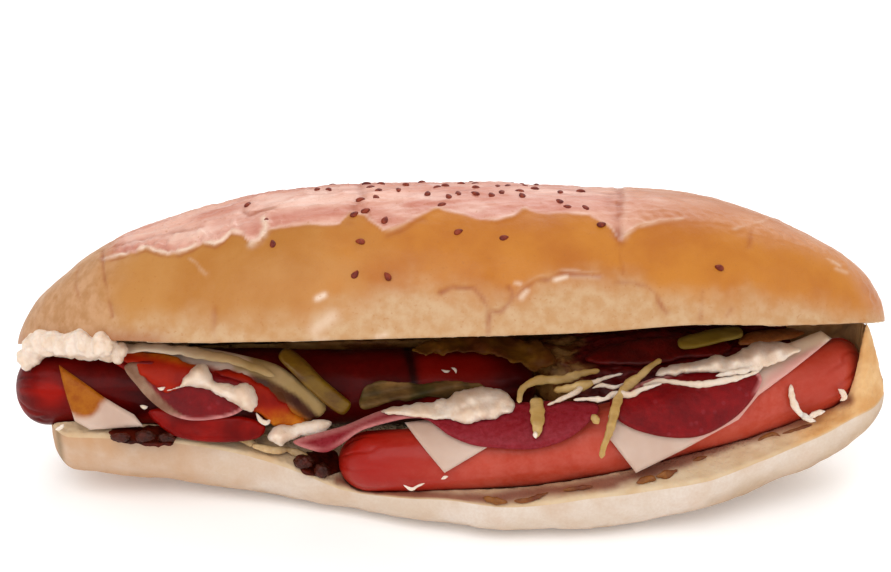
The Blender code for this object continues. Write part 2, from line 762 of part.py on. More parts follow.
def make_cream_left(parts):
    """Cream squeezed out over the end of the left sausage, against the top half's rim."""
    blobs = [
        (-133, -6, 50.2, 3.4), (-126.5, -8.5, 51.2, 3.6), (-119, -11, 52.2, 3.8),
        (-112, -14, 53, 3.8), (-106.5, -18, 53.6, 3.4), (-136.8, -9, 46.8, 3.5),
        (-134, -9, 51.5, 3.9), (-127.5, -12, 54.2, 3.9), (-122.5, -15.5, 54.6, 3.3),
        (-118.5, -17.5, 57, 3.7), (-113.5, -20, 56.2, 3.2), (-110, -22, 58.2, 3.9),
    ]
    shape = bmesh.new()
    for x, y, z, size in blobs:
        made = bmesh.ops.create_icosphere(shape, subdivisions=3, radius=size * MM)
        bmesh.ops.translate(shape, verts=made["verts"], vec=Vector((x, y, z)) * MM)
    mesh = bpy.data.meshes.new("cream_left")
    shape.to_mesh(mesh)
    shape.free()
    cream = new_object("cream_left", mesh, parts, CREAM, 0.4)
    blend = cream.modifiers.new("blend", "REMESH")
    blend.mode = "VOXEL"
    blend.voxel_size = 1.1 * MM
    fewer = cream.modifiers.new("fewer", "DECIMATE")
    fewer.ratio = 0.14
    cutters = seats("cream_seat", 2.45)
    rim = new_object("cream_rim", swollen_top("cream_rim", 0.6), cutters)
    rim.hide_render = True
    apply_boolean(cream, "DIFFERENCE", cutters)


def make_greens(parts):
    make_sheet(
        parts, "pickle_left", PICKLE,
        strip_outline([(-54, 40.6), (-49, 36.5), (-42.5, 30), (-36, 24.5), (-33, 22.4)], 5.6),
        left_run.place, lift=2.2, thickness=2.6, spacing=3.4,
    )
    make_sheet(
        parts, "lettuce_front", LETTUCE,
        [(-29, 24), (-27, 30), (-20, 31.5), (-10, 30.5), (2, 31.5), (12, 29), (10, 25.5),
         (-6, 26), (-20, 24.5), (-26, 22.8)],
        left_run.place, lift=lambda x, rise, depth: 1.1 + 0.9 * math.sin(x / 2.6 + rise / 3),
        thickness=0.9, spacing=3.2,
    )


def make_shreds(parts):
    paths = {
        "shred_arc": [(21.8, 25.0), (23, 29.2), (28, 31.8), (36, 32.2), (42, 34), (48, 35)],
        "shred_side": [(33, 28.8), (40, 29.8), (46, 31.4)],
        "shred_long": [
            (67.9, 38.4), (64.2, 36.3), (60.6, 33.3), (57.1, 30.9), (54.1, 27.9), (52.3, 24.3),
            (51.1, 20.1), (49.8, 15.8), (48.1, 11.6), (47.4, 8),
        ],
        "shred_branch": [(44.6, 21.6), (46.6, 18.8)],
    }
    for name, path in paths.items():
        make_sheet(
            parts, name, SHRED, strip_outline(path, 2.6), right_run.place, lift=4.15, thickness=1.5,
            spacing=2.4, smooth=False,
        )
    make_sheet(
        parts, "shred_hanging", SHRED,
        [(24.9, 26.4), (29.8, 26.4), (29.2, 21), (28, 15.2), (26.3, 14.8), (25.6, 20)],
        right_run.place, lift=4.15, thickness=1.5, spacing=2.4, smooth=False,
    )


def make_inner_layers(parts):
    make_sheet(
        parts, "meat_inner", MEAT,
        [(44, 38), (50, 42), (62, 44.6), (76, 45.6), (88, 45), (92, 42), (86, 39.5), (72, 37.8),
         (56, 36.2)],
        heap_place, lift=0.3, thickness=1.6,
    )
    make_sheet(
        parts, "ham_inner", HAM,
        [(95, 42.6), (97, 46), (104, 47.4), (113, 48), (117, 46.6), (112, 44.6), (104, 43.4)],
        heap_place, lift=0.3, thickness=1.4,
    )
    make_sheet(
        parts, "pickle_right", PICKLE,
        strip_outline([(75, 43.2), (82, 44.6), (89, 46.2), (95.5, 47)], 4.6),
        heap_place, lift=2.5, thickness=1.7, spacing=3.4,
    )
    make_sheet(
        parts, "lettuce_inner", SALAD,
        [(-12, 41.2), (-6, 44.6), (6, 45.6), (18, 45.4), (30, 43), (34, 38.6), (28, 35), (20, 38),
         (8, 40.6), (-4, 40)],
        left_run.place, lift=lambda x, rise, depth: 1.2 + 0.8 * math.sin(x / 2.3 + rise / 2),
        thickness=0.9, spacing=3.4,
    )


def pebble_mesh(name, centre, size, seed):
    """A small uneven lump of olive or browned onion."""
    shape = bmesh.new()
    bmesh.ops.create_icosphere(shape, subdivisions=2, radius=1.0)
    for vertex in shape.verts:
        uneven = 1 + 0.22 * noise.noise(vertex.co * 1.7 + Vector((seed, 0, 0)))
        vertex.co = Vector(
            (
                (centre[0] + vertex.co.x * size[0] * uneven) * MM,
                (centre[1] + vertex.co.y * size[1] * uneven) * MM,
                (centre[2] + vertex.co.z * size[2] * uneven) * MM,
            )
        )
    mesh = bpy.data.meshes.new(name)
    shape.to_mesh(mesh)
    shape.free()
    mesh.shade_smooth()
    return mesh


def make_bits(parts):
    """Lumps that lie on the cut face along the rim, as (x, rise, half sizes)."""
    lumps_at = [
        (-105.5, 13.6, (3.2, 1.5, 1.5)), (-98.0, 13.9, (3.4, 1.7, 1.9)), (-91.2, 13.4, (2.8, 1.5, 1.6)),
        (-47.0, 5.6, (3.2, 2.3, 2.4)), (-41.2, 2.8, (2.5, 2.2, 2.4)),
    ]
    for index, (x, rise, size) in enumerate(lumps_at):
        centre = bread_place(x, rise, size[2] + 0.3)
        mesh = pebble_mesh(f"bit_{index + 1}", centre, size, 3.1 * index)
        new_object(f"bit_{index + 1}", mesh, parts, OLIVE, 0.35)


def make_onion_stick(parts):
    line = bpy.data.curves.new("onion_stick", "CURVE")
    line.dimensions = "3D"
    line.bevel_depth = 1.15 * MM
    line.bevel_resolution = 2
    line.use_fill_caps = True
    path = [bread_place(x, rise, 2.0) for x, rise in ((-64, 10.8), (-57, 9.2), (-51, 9.4))]
    spline = line.splines.new("POLY")
    spline.points.add(len(path) - 1)
    for point, spot in zip(spline.points, path):
        point.co = (*(MM * value for value in spot), 1)
    new_object("onion_stick", line, parts, ONION, 0.45)


def clear_scene():
    for thing in list(bpy.data.objects):
        bpy.data.objects.remove(thing)


def main():
    clear_scene()
    parts = bpy.data.collections.new("submarine_sandwich")
    bpy.context.scene.collection.children.link(parts)
    make_bun_top(parts)
    make_bun_bottom(parts)
    make_sausages(parts)
    make_salad_heap(parts)
    make_cheese(parts)
    make_salami(parts)
    make_tomato(parts)
    make_cream(parts)
    make_cream_left(parts)
    make_greens(parts)
    make_shreds(parts)
    make_inner_layers(parts)
    make_bits(parts)
    make_onion_stick(parts)


main()
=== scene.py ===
import math
import random

import bmesh
import bpy
import numpy as np
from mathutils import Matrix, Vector, noise
from mathutils.geometry import delaunay_2d_cdt


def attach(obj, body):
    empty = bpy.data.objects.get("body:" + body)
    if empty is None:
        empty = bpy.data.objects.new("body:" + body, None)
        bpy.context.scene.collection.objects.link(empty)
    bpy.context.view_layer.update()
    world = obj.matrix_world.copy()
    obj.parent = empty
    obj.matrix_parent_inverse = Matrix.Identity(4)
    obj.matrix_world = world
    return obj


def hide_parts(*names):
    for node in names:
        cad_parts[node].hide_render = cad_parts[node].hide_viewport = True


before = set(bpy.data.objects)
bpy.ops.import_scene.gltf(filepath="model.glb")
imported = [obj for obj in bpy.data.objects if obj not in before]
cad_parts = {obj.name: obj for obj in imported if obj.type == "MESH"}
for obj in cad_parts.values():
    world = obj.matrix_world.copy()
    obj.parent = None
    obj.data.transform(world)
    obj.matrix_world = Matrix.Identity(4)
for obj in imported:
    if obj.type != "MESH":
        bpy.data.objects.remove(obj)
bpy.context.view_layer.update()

# Camera, at the height and side from which the photograph was taken
slant = math.radians(25)
distance = 0.8
aim = Vector((-0.0015, 0.0, 0.0685))
camera = bpy.data.objects.new("camera", bpy.data.cameras.new("camera"))
bpy.context.scene.collection.objects.link(camera)
camera.data.lens = 100
camera.data.sensor_width = 36
camera.location = aim + Vector((0, -math.cos(slant), math.sin(slant))) * distance
camera.rotation_euler = (aim - camera.location).to_track_quat("-Z", "Y").to_euler()
bpy.context.scene.camera = camera
bpy.context.scene.view_settings.view_transform = "Standard"

mm = 0.001
gap = 0.35  # between neighbouring pieces, in millimetres like every size below
# up the picture and out of it, as (y, z)
upward = np.array([math.sin(slant), math.cos(slant)])
outward = np.array([-math.cos(slant), math.sin(slant)])
# millimetres a pixel, and the pixels where x and the floor are 0
picture = dict(scale=0.3226, middle=450, floor=480.5)


def seen(places):
    # picture places as (x, rise), rise being the height seen along the slant
    return [((across - picture["middle"]) * picture["scale"], (picture["floor"] - down) * picture["scale"])
            for across, down in places]


# The roll's shape, as the solids have it
roll = dict(
    left=-143.0, right=142.0, apex=-16.0, thickness=49.7, halfDepth=45.0, tilt=math.radians(24.4),
    rollOver=0.030, hingeY=42.0, hingeZ=32.6, centreY=0.1, lowerLeft=-131.5,
    leftRounding=9.0, rightRounding=8.0,
)


def through(stations):
    # a smooth function of x through (x, value) stations
    table = np.array(stations, float)
    xs, values = table[:, 0], table[:, 1]
    slopes = np.gradient(values, xs)

    def at(x):
        x = np.clip(x, xs[0], xs[-1])
        i = np.clip(np.searchsorted(xs, x, side="right") - 1, 0, len(xs) - 2)
        step = xs[i + 1] - xs[i]
        t = (x - xs[i]) / step
        return (
            values[i] * (2 * t**3 - 3 * t**2 + 1) + values[i + 1] * (3 * t**2 - 2 * t**3)
            + step * slopes[i] * (t**3 - 2 * t**2 + t) + step * slopes[i + 1] * (t**3 - t**2)
        )

    return at


frontDepth = through([
    (-130, 20), (-113, 22.6), (-80, 23.5), (-58, 26), (-45, 29.5), (-30, 33.6), (-16, 39.5),
    (0, 44.3), (16, 47.9), (48, 46.6), (70, 43.4), (81, 41), (92, 35), (108, 28), (120, 23), (142, 13),
])
belly = through([
    (-131.5, 10), (-113, 7.5), (-80, 3.2), (-58, 1), (-42, 0), (-36, 0), (-20, 0), (58, 0),
    (64, 0.6), (81, 3.4), (92, 5.4), (108, 8.5), (120, 11.8), (132, 18), (142, 27),
])
frontRim = through([
    (-130, 25), (-106, 26), (-80, 23), (-61, 19.5), (-48, 16), (-34, 11.5), (-16, 13), (0, 14.8),
    (16, 14.5), (48, 17.5), (77, 19.5), (92, 20.5), (108, 24), (120, 27), (132, 31), (140, 33),
])
backDrop = through([(100, 0), (133.6, 0), (135.6, 2.5), (137.1, 7), (139.1, 13), (141.2, 19), (142.1, 22)])
endWall = through([
    (122, 0), (127, 0.02), (130, 0.3), (132, 0.75), (133.6, 1), (134.6, 1), (137.1, 0.72),
    (139.1, 0.45), (141.2, 0.1), (142.1, 0),
])


def smoothstep(value, low, high):
    t = np.clip((value - low) / (high - low), 0.0, 1.0)
    return t * t * (3 - 2 * t)


def signedPower(value, exponent):
    return np.sign(value) * np.abs(value) ** exponent


def endRounding(x, low, high, lowLength, highLength):
    # 0 at both ends and 1 between them, round like a ball's outline
    near = np.clip(np.minimum((x - low) / lowLength, (high - x) / highLength), 0.0, 1.0)
    return np.sqrt(np.clip(1 - (1 - near) ** 2, 0.0, 1.0))


def field(points, size, octaves=3, seed=0.0):
    # smooth fractal noise, one value a point, mostly within -1 to 1
    shift = Vector((seed, 1.7 * seed, -seed))
    scale = np.broadcast_to(np.array(size, float), (3,))
    flat = np.reshape(points, (-1, 3)) / scale
    values = [noise.fractal(Vector(point) + shift, 1.0, 2.0, octaves) for point in flat]
    return np.array(values).reshape(np.shape(points)[:-1])


def riseOf(points):
    return points[..., 1] * upward[0] + points[..., 2] * upward[1]


def splinePoint(before, here, ahead, after, t):
    return 0.5 * (
        2 * here + (ahead - before) * t + (2 * before - 5 * here + 4 * ahead - after) * t**2
        + (3 * here - before - 3 * ahead + after) * t**3
    )


class Run:
    # the axis and radius of a sausage, as functions of x
    def __init__(self, stations):
        table = np.array(stations, float)
        self.y, self.z, self.radius = (through(table[:, (0, column)]) for column in (1, 2, 3))

    def place(self, x, rise, lift, turn=50.0):
        # over the run: straight down below the axis, round it, then straight back
        y, z = self.y(x), self.z(x)
        reach = self.radius(x) + gap + lift
        level = y * upward[0] + z * upward[1]
        turn = math.radians(turn)
        angle = np.arcsin(np.clip((rise - level) / reach, 0, math.sin(turn)))
        below = np.minimum(rise - level, 0.0)
        beyond = np.maximum(rise - level - reach * math.sin(turn), 0.0) / math.cos(turn)
        along = math.cos(turn) * upward - math.sin(turn) * outward
        spotY = y + reach * (np.sin(angle) * upward[0] + np.cos(angle) * outward[0])
        spotZ = z + reach * (np.sin(angle) * upward[1] + np.cos(angle) * outward[1])
        spotY = spotY + below * upward[0] + beyond * along[0]
        spotZ = spotZ + below * upward[1] + beyond * along[1]
        return np.stack(np.broadcast_arrays(x, spotY, spotZ), axis=-1)


rightRun = Run([
    (-62, -13, 11, 9.8), (-50, -19, 14.6, 9.8), (-26, -28, 19.7, 9.8), (0, -31, 22.6, 10.5),
    (26, -30.5, 24.4, 11), (48, -27, 26.5, 11.5), (80, -18, 30.8, 12), (100, -11, 33.3, 12.1),
    (122, -3, 37, 12.1), (134, 1, 39, 12),
])
leftRun = Run([
    (-141, -2, 33.0, 12.6), (-120, -3.5, 33.8, 12.7), (-80, -7, 35.6, 12.5), (-30, -3, 33.6, 12.4),
    (30, -1.5, 33.0, 12.4),
])
rightEnds = (-36.0, 134.8)
leftEnds = (-142.4, 28.0)


def cutPlane(x, y):
    # height of the upper half's cut face
    wave = 1.6 * np.exp(-(((x - 76) / 24) ** 2)) + 1.2 * np.exp(-(((x + 108) / 18) ** 2))
    return roll["hingeZ"] + (roll["hingeY"] - y) * math.tan(roll["tilt"]) + roll["rollOver"] * x + wave


def fullness(x, leftPower, leftRoot, rightPower, rightRoot):
    left = np.clip((roll["apex"] - x) / (roll["apex"] - roll["left"]), 0, 1)
    right = np.clip((x - roll["apex"]) / (roll["right"] - roll["apex"]), 0, 1)
    return np.where(
        x < roll["apex"], (1 - left**leftPower) ** leftRoot, (1 - right**rightPower) ** rightRoot
    )


def plan(x):
    # middle and half width of the roll, seen from above
    left = np.clip((roll["apex"] - x) / (roll["apex"] - roll["left"]), 0, 1)
    right = np.clip((x - roll["apex"]) / (roll["right"] - roll["apex"]), 0, 1)
    half = roll["halfDepth"] * math.cos(roll["tilt"]) * fullness(x, 2.0, 0.6, 2.4, 0.57)
    return roll["centreY"] + 9.0 * left**3 + 3.0 * right**3, half


def domePoints(x, angle):
    # the crust, from the front rim at angle 0 to the back one at half a turn
    middle, half = plan(x)
    dip = 1 - 0.036 * np.exp(-(((x - 45) / 48) ** 2))
    thickness = roll["thickness"] * dip * fullness(x, 2.2, 0.61, 2.75, 0.55)
    across = -half / math.cos(roll["tilt"]) * signedPower(np.cos(angle), 0.86)
    up = thickness * signedPower(np.sin(angle), 0.84)
    y = middle + across * math.cos(roll["tilt"]) + up * math.sin(roll["tilt"])
    z = cutPlane(x, middle) - across * math.sin(roll["tilt"]) + up * math.cos(roll["tilt"])
    return np.stack(np.broadcast_arrays(x, y, z), axis=-1)


def easedStations(low, high, count, ease):
    # stations from low to high, closer together at the ends
    steps = np.linspace(0, 1, count)
    return low + (high - low) * ((1 - ease) * steps + ease * (1 - np.cos(np.pi * steps)) / 2)


# Meshes

def newPiece(name, mesh, material, nodes=()):
    piece = bpy.data.objects.new(name, mesh)
    bpy.context.scene.collection.objects.link(piece)
    for one in material if isinstance(material, (list, tuple)) else [material]:
        mesh.materials.append(one)
    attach(piece, "root")
    if nodes:
        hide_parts(*nodes)
    return piece


def meshOf(name, points, faces, masks=None):
    mesh = bpy.data.meshes.new(name)
    mesh.from_pydata((np.asarray(points) * mm).tolist(), [], faces)
    for key, values in (masks or {}).items():
        attribute = mesh.attributes.new(key, "FLOAT", "POINT")
        attribute.data.foreach_set("value", np.asarray(values, np.float32).ravel())
    mesh.shade_smooth()
    return mesh


def loftFaces(rows, columns):
    # quads between rings of points, and a fan at each end to two last points
    faces = []
    for i in range(rows - 1):
        for j in range(columns):
            k = (j + 1) % columns
            faces.append((i * columns + j, i * columns + k, (i + 1) * columns + k, (i + 1) * columns + j))
    first, last = rows * columns, rows * columns + 1
    start = (rows - 1) * columns
    for j in range(columns):
        k = (j + 1) % columns
        faces.append((k, j, first))
        faces.append((start + j, start + k, last))
    return faces


def loftMesh(name, grid, masks=None):
    rows, columns = grid.shape[:2]
    ends = [grid[0].mean(axis=0), grid[-1].mean(axis=0)]
    points = np.concatenate([grid.reshape(-1, 3), ends])
    full = {
        key: np.append(values.ravel(), [values[0].mean(), values[-1].mean()])
        for key, values in (masks or {}).items()
    }
    mesh = meshOf(name, points, loftFaces(rows, columns), full)
    faceOutward(mesh)
    return mesh


def faceOutward(mesh):
    shape = bmesh.new()
    shape.from_mesh(mesh)
    bmesh.ops.recalc_face_normals(shape, faces=shape.faces)
    shape.to_mesh(mesh)
    shape.free()


def meshFrom(shape, name):
    mesh = bpy.data.meshes.new(name)
    shape.to_mesh(mesh)
    shape.free()
    mesh.shade_smooth()
    return mesh


def secondMaterial(mesh, grid, first):
    # gives the second material to the quads of a lofted grid from that column on
    rows, columns = grid.shape[:2]
    kinds = [int(index % columns >= first) for index in range((rows - 1) * columns)]
    kinds += [0] * (len(mesh.polygons) - len(kinds))
    mesh.polygons.foreach_set("material_index", kinds)


def normalsOf(grid):
    # outward directions of a grid of closed rings
    along = np.gradient(grid, axis=0)
    across = np.roll(grid, -1, axis=1) - np.roll(grid, 1, axis=1)
    normal = np.cross(along, across)
    normal /= np.maximum(np.linalg.norm(normal, axis=-1, keepdims=True), 1e-9)
    middle = grid.mean(axis=1, keepdims=True)
    inward = ((grid - middle) * normal).sum(axis=-1).mean() < 0
    return -normal if inward else normal


def lineDistance(spots, path):
    # distance from each 2-D spot to a line through the path
    spots = np.asarray(spots, float)
    best = np.full(spots.shape[:-1], 1e9)
    for start, end in zip(path[:-1], path[1:]):
        start, end = np.array(start, float), np.array(end, float)
        along = end - start
        t = np.clip(((spots - start) @ along) / max(along @ along, 1e-9), 0, 1)
        best = np.minimum(best, np.linalg.norm(spots - start - t[..., None] * along, axis=-1))
    return best


def edgeDistance(spots, outline):
    # distance to a closed outline, below 0 outside it
    spots = np.asarray(spots, float)
    outline = [np.array(corner, float) for corner in outline]
    best = lineDistance(spots, outline + outline[:1])
    inside = np.zeros(spots.shape[:-1], bool)
    for start, end in zip(outline, outline[1:] + outline[:1]):
        crosses = (start[1] > spots[..., 1]) != (end[1] > spots[..., 1])
        rise = end[1] - start[1]
        crossing = start[0] + (spots[..., 1] - start[1]) / (rise if rise else 1.0) * (end[0] - start[0])
        inside ^= crosses & (spots[..., 0] < crossing)
    return np.where(inside, best, -best)


# Shader building

def tone(text):
    # the surface colour that looks like this one once the gloss is over it
    values = [int(text[i : i + 2], 16) / 255 for i in (1, 3, 5)]
    linear = [value / 12.92 if value <= 0.04045 else ((value + 0.055) / 1.055) ** 2.4 for value in values]
    return (*(max(0.88 * value - 0.025, 0.2 * value) for value in linear), 1.0)


class Nodes:
    # a short way to write a node tree, in which a colour is written as "#RRGGBB"
    def __init__(self, tree):
        self.tree = tree
        self.place = None

    def add(self, kind, inputs=None, **settings):
        made = self.tree.nodes.new(kind)
        for key, value in settings.items():
            setattr(made, key, value)
        for key, value in (inputs or {}).items():
            self.put(made.inputs[key], value)
        return made

    def put(self, socket, value):
        if isinstance(value, bpy.types.NodeSocket):
            self.tree.links.new(value, socket)
        else:
            socket.default_value = tone(value) if isinstance(value, str) else value

    def where(self, stretch=(1, 1, 1)):
        # place on the object in metres, stretched along its axes
        if self.place is None:
            self.place = self.add("ShaderNodeTexCoord").outputs["Object"]
        if stretch == (1, 1, 1):
            return self.place
        return self.add("ShaderNodeMapping", {"Vector": self.place, "Scale": stretch}).outputs[0]

    def noise(self, scale, detail=4.0, roughness=0.55, stretch=(1, 1, 1)):
        inputs = {"Vector": self.where(stretch), "Scale": scale, "Detail": detail, "Roughness": roughness}
        return self.add("ShaderNodeTexNoise", inputs).outputs["Fac"]

    def cells(self, scale, feature="F1", stretch=(1, 1, 1)):
        inputs = {"Vector": self.where(stretch), "Scale": scale}
        return self.add("ShaderNodeTexVoronoi", inputs, feature=feature).outputs["Distance"]

    def span(self, value, low, high, out=(0.0, 1.0)):
        inputs = {"Value": value, "From Min": low, "From Max": high, "To Min": out[0], "To Max": out[1]}
        return self.add("ShaderNodeMapRange", inputs, interpolation_type="SMOOTHSTEP").outputs[0]

    def math(self, operation, first, second=0.0):
        made = self.add("ShaderNodeMath", operation=operation)
        self.put(made.inputs[0], first)
        self.put(made.inputs[1], second)
        return made.outputs[0]

    def mix(self, share, first, second, kind="MIX"):
        made = self.add("ShaderNodeMix", data_type="RGBA", blend_type=kind)
        self.put(made.inputs[0], share)
        self.put(made.inputs[6], first)
        self.put(made.inputs[7], second)
        return made.outputs[2]

    def mask(self, name):
        return self.add("ShaderNodeAttribute", attribute_name=name).outputs["Fac"]

    def bump(self, height, distance, strength=1.0):
        inputs = {"Height": height, "Distance": distance, "Strength": strength}
        return self.add("ShaderNodeBump", inputs).outputs[0]

    def group(self, name, **inputs):
        made = self.add("ShaderNodeGroup")
        made.node_tree = bpy.data.node_groups[name]
        for key, value in inputs.items():
            self.put(made.inputs[key], value)
        return made.outputs


def newGroup(name, inputs, outputs, build):
    tree = bpy.data.node_groups.new(name, "ShaderNodeTree")
    for key, value in inputs.items():
        socket = tree.interface.new_socket(key, in_out="INPUT", socket_type="NodeSocketFloat")
        socket.default_value = value
    for key in outputs:
        tree.interface.new_socket(key, in_out="OUTPUT", socket_type="NodeSocketFloat")
    nodes = Nodes(tree)
    results = build(nodes, nodes.add("NodeGroupInput").outputs)
    end = nodes.add("NodeGroupOutput")
    for key, value in zip(outputs, results):
        nodes.put(end.inputs[key], value)


def mottleNodes(t, given):
    broad = t.noise(given["Scale"], 3.0)
    fine = t.noise(t.math("MULTIPLY", given["Scale"], 5.0), 5.0, 0.65)
    return t.span(broad, 0.3, 0.7), t.span(fine, 0.3, 0.7)


def poreNodes(t, given):
    # round bubbles of two sizes, warped a little
    large = t.span(t.cells(given["Scale"]), 0.12, 0.42)
    small = t.span(t.cells(t.math("MULTIPLY", given["Scale"], 2.7)), 0.1, 0.5)
    both = t.math("MULTIPLY", large, t.math("ADD", t.math("MULTIPLY", small, 0.5), 0.5))
    return both, t.math("SUBTRACT", 1.0, both)


def wetNodes(t, given):
    # droplets and smears: a height, and a roughness that varies
    drops = t.noise(given["Scale"], 6.0, 0.6)
    smear = t.noise(t.math("MULTIPLY", given["Scale"], 0.3), 2.0)
    return drops, t.span(smear, 0.3, 0.7, (0.16, 0.42))


newGroup("mottle", {"Scale": 100.0}, ("Broad", "Fine"), mottleNodes)
newGroup("pores", {"Scale": 400.0}, ("Height", "Pit"), poreNodes)
newGroup("wet", {"Scale": 300.0}, ("Height", "Roughness"), wetNodes)


def mottledLook(colors, scale, share=0.0, depth=0.0003, strength=0.5):
    # two colours in broad patches, and a third in fine ones
    def look(t):
        mottle = t.group("mottle", Scale=scale)
        color = t.mix(mottle["Broad"], colors[0], colors[1])
        if share:
            color = t.mix(t.math("MULTIPLY", mottle["Fine"], share), color, colors[2])
        return {"Base Color": color, "Normal": t.bump(mottle["Fine"], depth, strength)}
    return look


def flesh(weight, radius, scale):
    # light that enters and leaves again, a share of it by each colour's own reach
    return dict(Subsurface_Weight=weight, Subsurface_Radius=radius, Subsurface_Scale=scale)


def newMaterial(name, build, **fixed):
    # fixed values are named by their socket, with _ for a space
    made = bpy.data.materials.new(name)
    made.use_nodes = True
    nodes = Nodes(made.node_tree)
    shader = made.node_tree.nodes["Principled BSDF"]
    for key, value in fixed.items():
        nodes.put(shader.inputs[key.replace("_", " ")], value)
    for key, value in build(nodes).items():
        nodes.put(shader.inputs[key], value)
    return made


def crustLook(t):
    mottle = t.group("mottle", Scale=45.0)
    fine = t.group("mottle", Scale=260.0)
    color = t.mix(mottle["Broad"], "#B9793A", "#C4894C")
    color = t.mix(t.mask("orange"), color, t.mix(mottle["Broad"], "#BC6E1A", "#CC8028"))
    pale = t.mix(fine["Broad"], "#C8996B", "#D2AC84")
    color = t.mix(t.mask("paleness"), color, pale)
    color = t.mix(t.mask("dullness"), color, t.mix(fine["Broad"], "#BC8A5E", "#D2A27A"))
    streaks = t.noise(75.0, 5.0, 0.6, (0.3, 1.0, 1.0))
    # the pink skin: partly its own colour, partly a painted reflection of the light from above and behind
    pink = t.mix(t.span(streaks, 0.38, 0.66), "#CC8470", "#EEBAA6")
    pink = t.mix(t.mask("tan"), pink, t.mix(mottle["Broad"], "#C48058", "#D8A080"))
    # painted reflection: paler pink patches of sheen on the skin
    pink = t.mix(t.mask("sheen"), pink, "#F6D0C0")
    share = t.math("MULTIPLY", t.mask("pinkness"), t.span(t.noise(30.0, 3.0), 0.2, 0.5, (0.75, 1.0)))
    color = t.mix(share, color, pink)
    # darker brown: the cracks' own colour with painted shade in them, painted shade under the flap's lip, and a
    # painted shadow along the left end's rim
    color = t.mix(t.mask("crack"), color, "#9C4E20")
    # white flakes of the crust with painted glints: highlights along the raised folds and along the flap's lip
    color = t.mix(t.mask("flake"), color, "#F4D8C0")
    speck = t.span(t.noise(900.0, 2.0), 0.62, 0.74, (0.0, 0.35))
    color = t.mix(speck, color, "#B4713A")
    height = t.math("ADD", t.noise(420.0, 6.0, 0.6), t.math("MULTIPLY", t.noise(70.0, 3.0), 1.5))
    rough = t.span(t.mask("pinkness"), 0.0, 1.0, (0.5, 0.34))
    return {"Base Color": color, "Roughness": rough, "Normal": t.bump(height, 0.0006, 0.5)}


def crumbLook(t):
    pores = t.group("pores", Scale=330.0)
    mottle = t.group("mottle", Scale=90.0)
    openness = t.math("SUBTRACT", 1.0, t.mask("smooth"))
    color = t.mix(mottle["Broad"], "#D6B48C", "#E2C8A6")
    color = t.mix(t.math("MULTIPLY", t.math("MULTIPLY", pores["Pit"], openness), 0.5), color, "#B88A58")
    # the end wall: its own tan colour, painted lighter to stand for light where it lies in shade
    color = t.mix(t.mask("wall"), color, t.mix(mottle["Broad"], "#D8A066", "#EEC28C"))
    # soaked crumb, and on the lower half painted shade just under the sausages
    color = t.mix(t.math("MULTIPLY", t.mask("soak"), 0.85), color, "#7E3C18")
    height = t.math("MULTIPLY", pores["Height"], t.math("ADD", 0.15, openness))
    return {"Base Color": color, "Normal": t.bump(height, 0.0012, 0.8)}


crustMaterial = newMaterial("crust", crustLook, Coat_Weight=0.14, Coat_Roughness=0.22, Specular_IOR_Level=0.3)
crumbMaterial = newMaterial("crumb", crumbLook, Roughness=0.85, **flesh(0.1, (1.0, 0.6, 0.3), 0.002))


# Upper half: its crust carries the creases of a baked skin

def arcLengths(rings):
    # length of each ring up to each of its points
    steps = np.linalg.norm(np.diff(rings, axis=1), axis=-1)
    return np.concatenate([np.zeros((len(rings), 1)), np.cumsum(steps, axis=1)], axis=1)


traceAngles = np.linspace(0, math.pi, 240)


def onDome(places):
    # picture places as (x, length of crust up from the front rim)
    spots = []
    for x, rise in seen(places):
        ring = domePoints(x, traceAngles)[None]
        rises = riseOf(ring)[0]
        crown = int(np.argmax(rises)) + 1
        spots.append((x, float(np.interp(rise, rises[:crown], arcLengths(ring)[0][:crown]))))
    return spots


